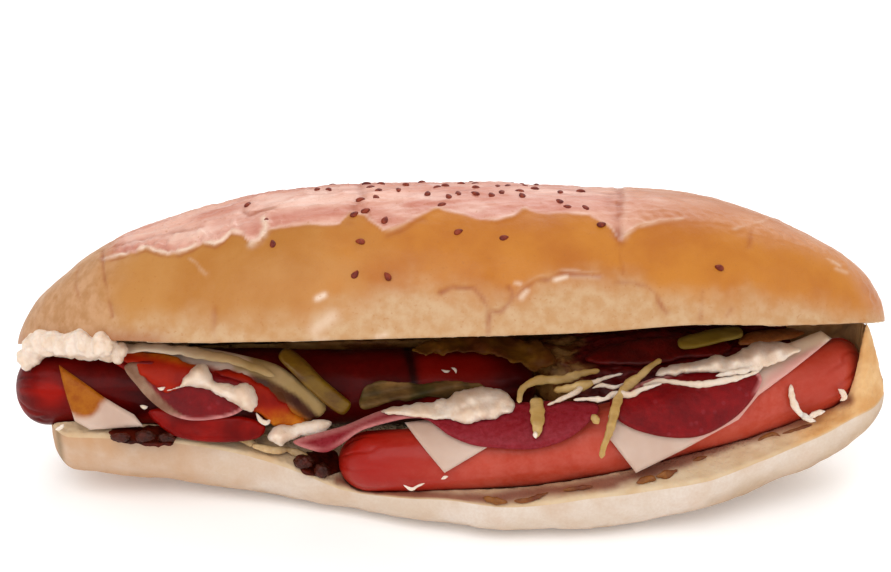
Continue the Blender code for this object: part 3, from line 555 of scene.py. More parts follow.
# raised folds (above 0) and cracks (below 0) of the skin: picture places, width, height
skinLines = [
    ([(268, 222), (271, 232), (268, 241), (259, 248)], 1.1, 0.7),
    ([(249, 206), (246, 213), (252, 218), (262, 215), (277, 212)], 0.9, -0.5),
    ([(150, 243), (143, 248), (152, 250), (162, 246)], 1.0, 0.5),
    ([(182, 238), (176, 246), (186, 249), (198, 240)], 1.0, 0.5),
    ([(212, 226), (207, 236), (214, 242)], 1.0, 0.5),
    ([(205, 232), (203, 240), (199, 248)], 0.7, 0.5),
    ([(116, 245), (159, 233), (211, 224)], 0.9, 0.35),
    ([(116, 249), (159, 238), (205, 229)], 0.8, -0.3),
    ([(268, 213), (310, 210), (349, 210)], 0.8, 0.35),
    ([(352, 183), (361, 192), (364, 200), (356, 211), (353, 226)], 1.3, -0.4),
    ([(358, 205), (368, 214), (372, 222)], 0.9, -0.3),
    ([(102, 253), (105, 268), (118, 319)], 0.6, -0.4),
    ([(78, 270), (76, 285), (80, 300)], 0.6, -0.3),
    ([(222, 308), (221, 331), (224, 342)], 0.8, -0.22),
    ([(196, 261), (203, 266), (207, 272), (213, 276)], 0.9, 0.3),
    ([(386, 236), (403, 229), (421, 220), (436, 213)], 1.0, 0.5),
    ([(388, 239), (405, 232), (423, 223)], 0.9, -0.3),
    ([(440, 294), (452, 288), (472, 291), (480, 299), (486, 308), (486, 334)], 0.75, -0.42),
    ([(486, 311), (497, 312), (508, 303), (510, 294), (506, 288)], 0.75, -0.42),
    ([(514, 297), (520, 291), (532, 284), (546, 281), (555, 275), (592, 279)], 0.8, -0.45),
    ([(515, 293), (521, 287), (532, 280), (546, 277), (555, 272), (592, 275)], 0.8, 0.3),
    ([(610, 284), (638, 287), (647, 294), (650, 304), (658, 314)], 0.75, -0.35),
    ([(621, 187), (617, 204), (612, 228), (614, 246)], 1.6, -0.5),
    ([(609, 196), (606, 212), (610, 232)], 1.8, -0.3),
    ([(627, 187), (623, 205), (618, 226), (619, 240)], 1.8, 0.3),
    ([(614, 248), (613, 262), (616, 275)], 0.7, -0.22),
    ([(618, 240), (630, 232), (647, 227), (676, 223)], 0.9, 0.5),
    ([(492, 225), (509, 222), (523, 213)], 0.8, 0.5),
    ([(693, 293), (692, 320)], 0.7, -0.2),
    ([(747, 234), (742, 248)], 0.9, -0.35),
    ([(728, 232), (757, 226), (786, 222)], 0.9, 0.3),
    ([(824, 262), (837, 269)], 0.9, 0.4),
    ([(832, 268), (844, 275)], 0.8, 0.35),
    ([(722, 310), (718, 316)], 0.7, -0.35),
]
# where the glossy pink skin gives way to the golden side; the skin's pink is partly its own colour and partly a
# painted reflection
pinkEdge = [
    (60, 262), (84, 262), (107, 262), (124, 259), (142, 255), (150, 251), (160, 254), (173, 257),
    (186, 256), (199, 251), (208, 246), (221, 248), (230, 242), (236, 235), (248, 237), (257, 250),
    (266, 247), (274, 236), (285, 232), (308, 229), (342, 228), (353, 217), (367, 220), (385, 235),
    (403, 228), (421, 220), (437, 213), (455, 218), (480, 224), (497, 226), (508, 221), (521, 213),
    (534, 217), (555, 218), (585, 219), (598, 226), (607, 232), (615, 245), (619, 238), (632, 230),
    (653, 226), (683, 225), (702, 226), (724, 229), (745, 237), (767, 242), (788, 246), (809, 255),
    (831, 263), (844, 274), (859, 295), (872, 310),
]
# where the golden side gives way to the pale band along the rim
paleEdge = [
    (60, 330), (118, 322), (200, 318), (260, 322), (297, 325), (320, 312), (354, 308), (383, 291),
    (412, 283), (440, 292), (480, 298), (514, 300), (546, 282), (592, 281), (640, 290), (690, 305),
    (740, 300), (800, 308), (860, 318),
]


def edgeFunction(places):
    # length of crust up from the front rim, as a function of x
    table = np.array(onDome(places))
    return lambda x: np.interp(x, table[:, 0], table[:, 1])


# sesame seeds, as (x, angle round the crust, spread in x, spread in angle, count)
seedClusters = [
    (-38, 78, 5, 3, 3), (-25, 62, 4, 11, 10), (-12, 78, 4, 9, 5), (1, 65, 4, 6, 7),
    (14, 68, 4, 10, 5), (27, 72, 4, 7, 6), (39, 62, 4, 8, 5), (2, 103, 24, 7, 8),
]
singleSeeds = [
    (-64.6, 68), (-58, 50), (-55.4, 36), (-29.4, 20), (-19.4, 19), (-28, 34), (2.5, 38),
    (16.7, 35), (47.3, 43), (84, 22),
]
seedStyle = dict(size=(1.55, 1.0, 0.75), apart=3.4, tries=12)


def crustPoint(x, angle):
    # a point of the crust and the way it faces
    here = domePoints(x, angle)
    normal = np.cross(domePoints(x + 0.5, angle) - here, domePoints(x, angle + 0.01) - here)
    normal /= np.linalg.norm(normal)
    return here, normal if normal[2] > 0 else -normal


def seedPlaces():
    draw = random.Random(11)
    wanted = [(x, angle, 0, 0) for x, angle in singleSeeds]
    for x, angle, spreadX, spreadAngle, count in seedClusters:
        wanted += [(x, angle, spreadX, spreadAngle)] * count
    chosen = []
    for x, angle, spreadX, spreadAngle in wanted:
        for _ in range(seedStyle["tries"]):
            atAngle = math.radians(draw.gauss(angle, spreadAngle))
            spot, normal = crustPoint(draw.gauss(x, spreadX), atAngle)
            if all(np.linalg.norm(spot - other[0]) > seedStyle["apart"] for other in chosen):
                chosen.append((spot, normal, draw.uniform(0, math.pi)))
                break
    return chosen


def skinRelief(x, arc, places, warps):
    # relief of the traced folds and cracks, a mask that darkens the cracks with their own colour and painted
    # shade in them, and a mask of painted highlights along the raised folds
    relief, crack, gleam = np.zeros_like(x), np.zeros_like(x), np.zeros_like(x)
    spots = np.stack([x + 0.5 * warps[0], arc + 0.5 * warps[1]], axis=-1)
    uneven = np.clip(0.8 + 0.7 * warps[2], 0.15, 1.5)
    for line, width, height in places:
        near = np.exp(-((lineDistance(spots, line) / (width * (0.75 + 0.35 * uneven))) ** 2))
        relief += height * near * uneven
        if height < 0:
            crack = np.maximum(crack, near * min(0.8, -height * 1.3) * uneven)
        else:
            gleam = np.maximum(gleam, near**3 * min(0.75, height) * (uneven - 0.35))
    return relief, np.clip(crack, 0, 1), np.clip(gleam, 0, 1)


def nearPlaces(x, arc, places):
    # a soft mask round picture places, each with a radius across, one up and a strength
    share = np.zeros_like(x)
    for place, across, up, strength in places:
        spotX, spotArc = onDome([place])[0]
        away = ((x - spotX) / across) ** 2 + ((arc - spotArc) / up) ** 2
        share = np.maximum(share, strength * np.exp(-away))
    return share


# painted sheen: paler patches of painted reflection on the pink skin: picture place, radius along the roll,
# radius up it, strength
sheenPlaces = [
    ((138, 243), 9, 3, 0.7), ((190, 236), 12, 4, 0.6), ((245, 222), 8, 5, 0.5), ((300, 204), 14, 5, 0.9),
    ((335, 193), 9, 4, 0.8), ((398, 213), 5, 3, 0.5), ((430, 200), 9, 3, 0.7), ((475, 212), 12, 3, 0.6),
    ((545, 197), 14, 4, 0.7), ((580, 205), 5, 3, 0.5), ((650, 205), 9, 5, 0.35), ((700, 205), 10, 3, 0.3),
]


# white flecks of the crust, partly flakes and partly painted glints of light: picture places, width, strength
flecks = [
    ([(323, 300), (329, 297)], 1.0, 0.9), ([(321, 331), (330, 323), (337, 318)], 2.2, 0.45),
    ([(518, 299), (523, 293)], 0.9, 0.6), ([(551, 282), (561, 279)], 0.8, 0.85),
    ([(268, 223), (271, 231), (268, 240)], 1.1, 0.85), ([(264, 243), (257, 248)], 1.2, 0.6),
    ([(513, 285), (517, 286)], 0.7, 0.5), ([(380, 337), (388, 335)], 1.0, 0.5),
    ([(566, 279), (592, 280)], 0.8, 0.25), ([(829, 264), (836, 268)], 0.8, 0.4),
    ([(330, 345), (322, 340)], 1.2, 0.4), ([(833, 271), (843, 275)], 0.8, 0.3),
]
crust = dict(rings=430, ease=0.55, frontCount=132, backCount=62, faceCount=42, inset=0.15)


def mirrored(x):
    # the back carries the front's marks from the other end of the roll, drawn out a little
    return 8 - 0.93 * x


def crustGrids():
    # rings over the dome, from the front rim to the back one, and rows back across the cut face
    left, right = roll["left"] + crust["inset"], roll["right"] - crust["inset"]
    xs = easedStations(left, right, crust["rings"], crust["ease"])
    front, back = np.linspace(0, 0.5, crust["frontCount"]), np.linspace(0.5, 1, crust["backCount"])[1:]
    dome = domePoints(xs[:, None], (np.concatenate([front, back]) * math.pi)[None])
    middle, half = plan(xs)
    shares = np.linspace(1, 0, crust["faceCount"])[1:-1]
    faceY = middle[:, None] + half[:, None] * (2 * shares - 1)
    face = np.stack(np.broadcast_arrays(xs[:, None], faceY, cutPlane(xs[:, None], faceY)), axis=-1)
    return xs, dome, face


def skinEdges(x, arc, total, behind, torn):
    # masks of the pink skin and of the pale band, and how far up from the pink skin's edge each point is
    pinkStart, paleEnd = edgeFunction(pinkEdge), edgeFunction(paleEdge)
    soft = 0.9 + 6.0 * smoothstep(x, 52, 90)
    pink = np.where(
        behind < 0.5,
        smoothstep((arc + 1.0 * torn - pinkStart(x)) / soft, -0.9, 1.0),
        smoothstep(total - arc + 3.0 * torn - pinkStart(mirrored(x)), -3.0, 4.0),
    )
    pink = pink * smoothstep(x, -115, -104) * (1 - 0.5 * smoothstep(x + 12 * torn, 50, 95))
    pale = np.where(
        behind < 0.5,
        1 - smoothstep(arc + 3.0 * torn - paleEnd(x), -7, 7),
        1 - smoothstep(total - arc + 3.0 * torn - paleEnd(mirrored(x)), -8, 8),
    )
    return pink, pale, np.where(behind < 0.5, arc - pinkStart(x), total - arc - pinkStart(mirrored(x)))


def calmAt(count, rims):
    # less relief beside the rims of a ring, so that they stay crisp
    places = np.arange(count)
    away = np.min([np.minimum(np.abs(places - rim), count - np.abs(places - rim)) for rim in rims], axis=0)
    return np.clip(away / 3.0, 0.15, 1)


def makeTop():
    xs, dome, face = crustGrids()
    grid = np.concatenate([dome, face], axis=1)
    arc = arcLengths(dome)
    x = np.broadcast_to(xs[:, None], arc.shape)
    total = arc[:, -1:]
    behind = smoothstep(arc / total, 0.47, 0.53)
    torn = field(dome, 9, 4, 1.0)
    pink, pale, above = skinEdges(x, arc, total, behind, torn)

    # folds and cracks, the pink skin's thick and rippled edge, its wrinkles, and the roll's own unevenness
    lines = [(onDome(line), width, height) for line, width, height in skinLines]
    warps = [field(dome, 5, 2, seed) for seed in (31.0, 32.0, 33.0)]
    front = skinRelief(x, arc, lines, warps)
    back = skinRelief(mirrored(x), total - arc, lines, warps)
    relief, crack, flakes = (one * (1 - behind) + other * behind for one, other in zip(front, back))
    flap = smoothstep(x, -112, -104) * (1 - smoothstep(x, -60, -48)) + 0.35 * smoothstep(x, 50, 56)
    relief = relief + 0.5 * flap * smoothstep(above + 0.9 * warps[1], -0.5, 0.5) * np.exp(-above / 14)
    ripple = np.sin(1.7 * x + 0.6 * arc + 4 * warps[0])
    relief = relief + 0.38 * flap * ripple * np.exp(-(((above - 3.2) / 3.4) ** 2))
    wrinkle = 1 - np.abs(field(dome, (12, 4.5, 4.5), 3, 5.0)) * 2.2
    relief = relief + 0.6 * pink * (np.clip(wrinkle, 0, 1) ** 2 - 0.4) * (1 - smoothstep(x, -20, 40) * 0.5)
    relief = relief + 0.7 * field(dome, 34, 3, 9.0) + 0.22 * field(dome, 11, 3, 2.0)
    relief = relief * np.minimum(1, endRounding(x, roll["left"], roll["right"], 12, 12) + 0.1)
    faceRelief = 0.35 * field(face, 3.0, 3, 4.0) + 0.5 * field(face, 12, 2, 8.0)
    calm = calmAt(grid.shape[1], (0, dome.shape[1] - 1))
    moved = grid + normalsOf(grid) * (np.concatenate([relief, faceRelief], axis=1) * calm)[..., None]

    # what the colours follow
    # painted reflection patches on the pink skin
    sheen = nearPlaces(x, arc, sheenPlaces) * (1 - behind)
    sheen = np.maximum(sheen, nearPlaces(mirrored(x), total - arc, sheenPlaces) * behind)
    sheen = sheen * np.clip(0.7 + 0.9 * field(dome, (9, 3, 3), 3, 41.0), 0, 1.2)
    for place, width, strength in flecks:
        near = np.exp(-((lineDistance(np.stack([x, arc], axis=-1), onDome(place)) / width) ** 2))
        flakes = np.maximum(flakes, strength * near * (1 - behind))
    # the pink flap's lip: a painted highlight along it and painted shade just under it
    lined = (0.95 - 0.65 * smoothstep(x, -62, -52)) * smoothstep(x, -114, -108) * (1 - smoothstep(x, 60, 80))
    lined = lined * np.clip(0.75 + 0.9 * warps[1], 0.2, 1) * (1 - behind)
    flakes = np.maximum(flakes, lined * np.exp(-(((above + 0.5 * torn - 0.7) / 0.8) ** 2)))
    crack = np.maximum(crack, 0.5 * lined * np.exp(-(((above + 0.5 * torn + 0.9) / 0.7) ** 2)))
    # painted shadow along the rim at the left end
    shadowed = smoothstep(x, -120, -110) * (1 - smoothstep(x, -96, -82)) + 0.6 * (1 - smoothstep(x, -128, -118))
    crack = np.maximum(crack, 0.55 * shadowed * np.exp(-((arc / 3.2) ** 2)))
    onCrust = {
        "pinkness": pink, "paleness": pale, "dullness": (1 - smoothstep(x + 4 * torn, -118, -98)) * 0.9,
        "crack": crack, "flake": flakes, "orange": smoothstep(x + 10 * torn, -60, 0) * 0.8,
        "sheen": sheen, "tan": smoothstep(x + 8 * torn, 30, 80) * 0.85,
    }
    middle, half = (values[:, None] for values in plan(xs))
    inward = half - np.abs(face[..., 1] - middle)
    soak = np.clip(field(face, 14, 3, 3.0) + 0.5, 0, 1) * smoothstep(inward, 1, 9)
    noFace = np.zeros(face.shape[:2])
    masks = {name: np.concatenate([values, noFace], axis=1) for name, values in onCrust.items()}
    masks["soak"] = np.concatenate([np.zeros_like(x), soak], axis=1)
    masks["smooth"] = masks["wall"] = np.zeros(grid.shape[:2])
    mesh = loftMesh("crustTop", moved, masks)
    newPiece("crustTop", mesh, [crustMaterial, crumbMaterial], ["bun_top"])
    secondMaterial(mesh, grid, dome.shape[1] - 1)


def makeSeeds():
    # one mesh of all the seeds, pointed at one end, each half sunk in the crust
    shape = bmesh.new()
    draw = random.Random(5)
    for spot, normal, turn in seedPlaces():
        seed = bmesh.ops.create_uvsphere(shape, u_segments=14, v_segments=9, radius=1.0)["verts"]
        facing = Vector(normal).to_track_quat("Z", "Y")
        bend = draw.uniform(-0.15, 0.15)
        for vertex in seed:
            x, y, z = vertex.co
            narrow = (1 - 0.32 * x) * (1 - 0.12 * x * x)
            x, y = x * seedStyle["size"][0], (y * narrow + bend * x * x) * seedStyle["size"][1]
            flat = Vector((x * math.cos(turn) - y * math.sin(turn), x * math.sin(turn) + y * math.cos(turn),
                           z * seedStyle["size"][2]))
            flat.rotate(facing)
            vertex.co = (flat + Vector(spot)) * mm
    look = mottledLook(("#662214", "#964628"), 500.0, depth=0.0002, strength=0.4)
    seedMaterial = newMaterial("seed", look, Roughness=0.5, Specular_IOR_Level=0.25, Coat_Weight=0.08)
    newPiece("seeds", meshFrom(shape, "seeds"), seedMaterial)


makeTop()
makeSeeds()
print("upper half made")


# Lower half: a pale underside, and a cut face pressed down under both sausages

under = dict(rings=360, ease=0.6, crustCount=130, faceCount=110)


def lowerGrid(xs, crustCount, faceCount):
    # rings round the lower half: its underside from front to back, then back across its cut face
    rounding = endRounding(xs, roll["lowerLeft"], roll["right"], roll["leftRounding"], roll["rightRounding"])
    middle, half = plan(xs)
    midY = (middle + half - frontDepth(xs)) / 2
    back = (midY + (middle + half - midY) * rounding)[:, None]
    front = (midY - (midY + frontDepth(xs)) * rounding)[:, None]
    rim = frontRim(xs)[:, None]
    x = xs[:, None]
    hinge = cutPlane(x, back) - gap - np.maximum(backDrop(x), 0)
    low = np.maximum(belly(x), 0)
    low = low + (1 - rounding[:, None]) * 0.6 * (rim - low)

    def upper(y):
        level = rim + (hinge - rim) * (y - front) / (back - front)
        wall = np.maximum(endWall(x), 0) * smoothstep(y, front, np.minimum(-3, back))
        return level + wall * (cutPlane(x, y) - gap - level)

    angles = np.linspace(0, math.pi, crustCount)[None]
    crustY = (front + back) / 2 - (back - front) / 2 * signedPower(np.cos(angles), 0.52)
    depth = np.minimum(1.05 * signedPower(np.sin(angles), 0.52), 1.0)
    crustZ = upper(crustY) + (low - upper(crustY)) * depth
    faceY = front + (back - front) * np.linspace(1, 0, faceCount + 2)[1:-1][None]
    faceZ = upper(faceY)
    for run, ends in ((leftRun, leftEnds), (rightRun, rightEnds)):
        reach = (run.radius(x) + gap) * endRounding(x, ends[0] - gap, ends[1] + gap, 10.5, 10.5)
        away = faceY - run.y(x)
        seat = run.z(x) - np.sqrt(np.clip(reach**2 - away**2, 0, None))
        faceZ = np.where((np.abs(away) < reach) & (reach > 0.5), np.minimum(faceZ, seat), faceZ)
    y = np.concatenate([crustY, faceY], axis=1)
    z = np.concatenate([crustZ, faceZ], axis=1)
    return np.stack([np.broadcast_to(x, y.shape), y, z], axis=-1)


def softened(grid, passes, strength=0.5):
    # rounds the edges of every ring a little
    for _ in range(passes):
        beside = (np.roll(grid, 1, axis=1) + np.roll(grid, -1, axis=1)) / 2
        grid = grid + (beside - grid) * strength
    return grid


def underLook(t):
    broad = t.group("mottle", Scale=38.0)
    fine = t.group("mottle", Scale=210.0)
    color = t.mix(broad["Broad"], "#DCC6B0", "#EADBCE")
    color = t.mix(t.math("MULTIPLY", fine["Fine"], 0.25), color, "#D2B090")
    # painted shade: greyer brown towards the underside and over the left end
    color = t.mix(t.mask("baked"), color, t.mix(fine["Broad"], "#B8987A", "#C8AA8A"))
    color = t.mix(t.mask("warm"), color, "#C99A70")
    # painted shade in the crease at the left end
    color = t.mix(t.mask("crack"), color, "#8E7350")
    height = t.math("ADD", t.noise(380.0, 6.0, 0.6), t.math("MULTIPLY", t.noise(80.0, 3.0), 1.6))
    return {"Base Color": color, "Normal": t.bump(height, 0.0007, 0.55)}


# where the lower half's cut face is painted darker just below the sausages: painted shade, in the colour of
# soaked crumb
juiceLine = [
    (338, 482), (380, 492), (440, 496), (490, 496),
    (545, 489), (600, 482), (650, 470), (700, 453), (750, 439), (800, 424), (850, 402),
]


def makeBottom():
    xs = easedStations(roll["lowerLeft"] + 0.1, roll["right"] - 0.15, under["rings"], under["ease"])
    crustCount = under["crustCount"]
    grid = softened(lowerGrid(xs, crustCount, under["faceCount"]), 3)
    normals = normalsOf(grid)
    lumpy = field(grid, 22, 3, 12.0)
    relief = 0.75 * lumpy + 0.3 * field(grid, 7, 3, 14.0)
    facing = np.arange(grid.shape[1]) >= crustCount
    relief = np.where(facing[None], 0.25 * field(grid, 2.6, 3, 6.0), relief)
    relief = np.where(grid[..., 2] < 1.2, np.minimum(relief, 0) * 0.2, relief)
    ends = endRounding(xs, roll["lowerLeft"], roll["right"], 9, 8)[:, None]
    grid = grid + normals * (relief * np.minimum(1, ends + 0.1))[..., None]
    grid[..., 2] = np.maximum(grid[..., 2], 0.0)
    x, z = grid[..., 0], grid[..., 2]
    torn = field(grid, 10, 4, 21.0)
    onCrust = np.where(facing[None], 0.0, 1.0)
    low = np.maximum(belly(xs), 0)[:, None]
    # painted shade, darker towards the bottom of the crust and over the left end
    bakedTop = 6.0 + 6.0 * smoothstep(x, 60, 90)
    baked = onCrust * (1 - smoothstep(z - low + 2.2 * torn, 1.0, bakedTop))
    baked = np.maximum(baked, onCrust * smoothstep(-x + 1.5 * torn, 124, 130))
    warm = onCrust * np.clip(0.35 * torn + 0.75 * (1 - smoothstep(x + 8 * torn, -110, -40)), 0, 1)
    # painted shade in a crease near the left end
    crack = np.exp(-(((x + 127 + 0.7 * torn) / 1.3) ** 2)) * onCrust * 0.8
    inward = grid[..., 1] + frontDepth(xs)[:, None]
    soak = (1 - onCrust) * np.clip(0.1 + 0.7 * torn, 0, 1) * smoothstep(inward, 6, 22)
    smooth = np.where(facing[None], 1 - smoothstep(inward + 3 * torn, 7, 16), 1.0)
    # the end wall, whose crumb colour is painted lighter for light where it lies in shade
    wall = (1 - onCrust) * smoothstep(x + 3 * torn, 104, 118)
    smooth = np.maximum(smooth, wall)
    # painted shade just under the sausages, carried by the soak mask
    away = lineDistance(np.stack([x, riseOf(grid)], axis=-1), seen(juiceLine))
    stained = 1 - smoothstep(away + 0.9 * torn, 0.4, 3.2)
    soak = np.maximum(soak, (1 - onCrust) * stained)
    masks = {"smooth": smooth, "baked": baked, "warm": warm, "crack": crack, "soak": soak, "wall": wall}
    underMaterial = newMaterial("under", underLook, Roughness=0.62)
    mesh = loftMesh("breadBottom", grid, masks)
    newPiece("breadBottom", mesh, [underMaterial, crumbMaterial], ["bun_bottom"])
    secondMaterial(mesh, grid, crustCount - 1)


# Sausages, with skins that crease towards their ends

def sausageLook(colors, rough):
    # colours: two of the skin, its fine patches, its painted shade, and its sauced parts; on the left sausage the
    # sauced colour also carries a painted highlight at the tip and a brighter stretch at the back
    def look(t):
        mottle = t.group("mottle", Scale=70.0)
        wet = t.group("wet", Scale=260.0)
        color = t.mix(mottle["Broad"], colors[0], colors[1])
        color = t.mix(t.math("MULTIPLY", mottle["Fine"], 0.35), color, colors[2])
        color = t.mix(t.mask("shade"), color, colors[3])
        color = t.mix(t.mask("sauce"), color, colors[4])
        height = t.math("ADD", wet["Height"], t.math("MULTIPLY", t.noise(60.0, 3.0), 1.2))
        return {"Base Color": color, "Roughness": t.span(wet["Roughness"], 0.0, 1.0, rough),
                "Normal": t.bump(height, 0.0005, 0.5)}
    return look


def sausageGrid(run, ends, rings, sides, seed):
    # rings along a run, with masks of its unevenness and of the creases at its ends
    xs = easedStations(ends[0] + 0.12, ends[1] - 0.12, rings, 0.8)
    angles = np.linspace(0, 2 * math.pi, sides, endpoint=False)[None]
    rounding = endRounding(xs, ends[0], ends[1], 10.5, 10.5)[:, None]
    x = np.broadcast_to(xs[:, None], (rings, sides))
    unit = np.stack([x / 30, np.cos(angles) + 0 * x, np.sin(angles) + 0 * x], axis=-1)
    wobble = field(unit, 1.0, 3, seed)
    nearEnd = 1 - smoothstep(np.minimum(x - ends[0], ends[1] - x), 1.5, 17)
    creases = (1 - np.abs(np.sin(4.5 * angles + 3 * wobble + seed))) ** 3 * np.clip(rounding * 2.5, 0, 1)
    relief = 0.45 * wobble - 0.95 * nearEnd * creases
    reach = run.radius(x) * rounding + relief * rounding
    y = run.y(x) + reach * np.cos(angles)
    z = run.z(x) + reach * np.sin(angles)
    return np.stack([x, y, z], axis=-1), wobble, nearEnd * creases


sausage = dict(rings=260, sides=110)


def makeSausages():
    grid, wobble, creased = sausageGrid(rightRun, rightEnds, seed=2.0, **sausage)
    x, rise = grid[..., 0], riseOf(grid)
    shade = smoothstep(x, 104, 118) * 0.6 + 0.6 * creased
    masks = {"shade": np.clip(shade, 0, 1), "sauce": smoothstep(-x + 6 * wobble, -20, 25) * 0.9}
    look = sausageLook(("#BA4A3A", "#C45646", "#CE6E60", "#B24438", "#A6260C"), (0.36, 0.52))
    material = newMaterial("sausage", look, Coat_Weight=0.08, Coat_Roughness=0.14, Specular_IOR_Level=0.2,
                           **flesh(0.15, (1.0, 0.35, 0.2), 0.003))
    newPiece("sausageRight", loftMesh("sausageRight", grid, masks), material, ["sausage_right"])
    grid, wobble, creased = sausageGrid(leftRun, leftEnds, seed=6.0, **sausage)
    x = grid[..., 0]
    shade = 0.6 * creased + 0.75 * smoothstep(x + 6 * wobble, -114, -100) - 0.35 * smoothstep(x, -90, -50)
    shade = shade + 0.9 * np.exp(-(((x + 12.6 + 0.25 * (riseOf(grid) - 36)) / 1.4) ** 2))
    # a brighter red stretch at the back, drawn in the sauce colour
    bright = 0.5 * smoothstep(x, -12, -8) * (1 - smoothstep(x, 6, 20))
    # painted highlight: a brighter red spot on the centre of the left end
    tip = 0.9 * np.exp(-(((x + 129) / 4.5) ** 2) - (((riseOf(grid) - 28) / 4.5) ** 2))
    sauce = np.clip(wobble * 1.5, 0, 1) * (1 - smoothstep(x, -100, -60)) * 0.7 + bright + tip
    masks = {"shade": np.clip(shade, 0, 1), "sauce": np.clip(sauce, 0, 1)}
    look = sausageLook(("#640F08", "#7A180C", "#4E0808", "#3E0808", "#9E2A10"), (0.38, 0.56))
    material = newMaterial("sausageDark", look, Coat_Weight=0.04, Coat_Roughness=0.1, Specular_IOR_Level=0.07,
                           **flesh(0.1, (1.0, 0.3, 0.2), 0.002))
    newPiece("sausageLeft", loftMesh("sausageLeft", grid, masks), material, ["sausage_left"])


# Sheets: slices, leaves, strips and dollops laid over a run

def closedCurve(corners, spacing, smooth=True):
    # a closed outline through the corners, curved or straight between them
    corners = [np.array(corner, float) for corner in corners]
    count = len(corners)
    line = []
    for i in range(count):
        before, here = corners[i - 1], corners[i]
        ahead, after = corners[(i + 1) % count], corners[(i + 2) % count]
        steps = max(2, round(float(np.linalg.norm(ahead - here)) / spacing))
        for t in np.arange(steps) / steps:
            line.append(splinePoint(before, here, ahead, after, t) if smooth else here + (ahead - here) * t)
    return line


def stripOutline(path, width):
    # the outline of a strip along a path, narrower at its ends
    path = [np.array(point, float) for point in path]
    left, right = [], []
    for i, point in enumerate(path):
        along = path[min(i + 1, len(path) - 1)] - path[max(i - 1, 0)]
        across = np.array([-along[1], along[0]]) / np.linalg.norm(along)
        half = width / 2 * (0.7 if i in (0, len(path) - 1) else 1.0)
        left.append(point + across * half)
        right.append(point - across * half)
    return left + right[::-1]


def tornLine(line, size, reach, seed):
    # moves an outline in and out by smooth noise
    moved = []
    for i, point in enumerate(line):
        along = line[(i + 1) % len(line)] - line[i - 1]
        across = np.array([-along[1], along[0]]) / max(np.linalg.norm(along), 1e-6)
        shift = noise.fractal(Vector((*point, seed)) / size, 1.0, 2.0, 3)
        moved.append(point + across * reach * shift)
    return moved


def sheetMesh(name, line, place, lift, thickness, spacing, masks=None, rim=0.5, underRim=0.5):
    # a thin closed body over an outline; rim and underRim round its edge off, above and below
    low, high = np.min(line, axis=0), np.max(line, axis=0)
    rows = np.arange(low[1] + spacing / 2, high[1], spacing * 0.866)
    inner = [
        (x, y) for row, y in enumerate(rows)
        for x in np.arange(low[0] + spacing * (0.25 + 0.5 * (row % 2)), high[0], spacing)
    ]
    if inner:
        inner = np.array(inner)[edgeDistance(np.array(inner), line) > 0.55 * spacing]
    flat = [Vector(point) for point in line] + [Vector(point) for point in inner]
    loop = list(range(len(line)))
    found, _, triangles, _, _, _ = delaunay_2d_cdt(flat, [], [loop], 1, 1e-5)
    spots = np.array([tuple(spot) for spot in found])
    depth = np.maximum(edgeDistance(spots, line), 0.0)
    x, rise = spots[:, 0], spots[:, 1]
    base = lift(x, rise, depth)
    thick = thickness(x, rise, depth)
    rounding = 1 - np.sqrt(1 - (1 - np.clip(depth / max(rim, 1e-3), 0, 1)) ** 2)
    points = np.concatenate([
        place(x, rise, base + thick * underRim * 0.9 * rounding),
        place(x, rise, base + thick * (1 - (1 - underRim) * 0.9 * rounding)),
    ])
    count = len(spots)
    faces = [tuple(face) for face in triangles]
    faces += [tuple(count + i for i in reversed(face)) for face in triangles]
    used = {(face[i], face[(i + 1) % len(face)]) for face in triangles for i in range(len(face))}
    faces += [(end, start, count + start, count + end) for start, end in used if (end, start) not in used]
    values = {key: np.tile(rule(x, rise, depth), 2) for key, rule in (masks or {}).items()}
    mesh = meshOf(name, points, faces, values)
    faceOutward(mesh)
    return mesh


def level(value):
    # the same value all over a sheet
    return lambda x, rise, depth: np.full(np.shape(x), float(value))


zero = level(0.0)


# place lays (x, rise) over what is under the sheet; lift, thickness and masks are rules of (x, rise, depth),
# depth being the distance inward from the outline
def makeSheet(name, nodes, material, slot, corners, place, lift=0.0, thickness=1.6, spacing=1.0, smooth=True,
              coarse=4.5, tear=0.0, tearSize=5.0, rim=0.5, masks=None, wave=0.0, waveSize=9.0, seed=0.0,
              underRim=0.5):
    line = closedCurve(corners, coarse, smooth)
    line = closedCurve(line, spacing, smooth)
    if tear:
        line = tornLine(line, tearSize, tear, seed)
    liftAt = lift if callable(lift) else level(lift)
    thickAt = thickness if callable(thickness) else level(thickness)

    def wavy(x, rise, depth):
        base = liftAt(x, rise, depth)
        if wave:
            spots = np.stack([x, rise, np.full(np.shape(x), seed)], axis=-1)
            base = base + wave * np.clip(field(spots, waveSize, 2, seed) + 0.3, 0, 1.3)
        return base

    mesh = sheetMesh(name, line, place, wavy, thickAt, spacing, masks, rim, underRim)
    return newPiece(name, mesh, material, nodes)


def lumps(bumps, base, seed=0.0, edge=0.5, curd=0.35):
    # thickness of a dollop: a rounded edge, a swelling for each (x, rise, size, height), and curds
    def at(x, rise, depth):
        swell = np.full(np.shape(x), float(base))
        for bumpX, bumpRise, size, height in bumps:
            swell += height * np.exp(-((x - bumpX) ** 2 + (rise - bumpRise) ** 2) / size**2)
        spots = np.stack([x, rise, np.full(np.shape(x), seed)], axis=-1)
        swell += curd * (2.6 * np.abs(field(spots, 4.0, 2, seed)) - 0.4 + field(spots, 3.2, 3, seed))
        return edge + np.maximum(swell, 0.2) * np.sqrt(1 - (1 - np.clip(depth / 3.0, 0, 1)) ** 2)

    return at


def inOutline(places, soft, tear):
    # a mask: 1 inside picture places, fading over soft millimetres
    line = seen(places)

    def at(x, rise, depth):
        away = edgeDistance(np.stack([x, rise], axis=-1), line)
        away = away + tear * field(np.stack([x, rise, 0 * x], axis=-1), 5.0, 3, 2.0)
        return smoothstep(away, -soft, soft)

    return at


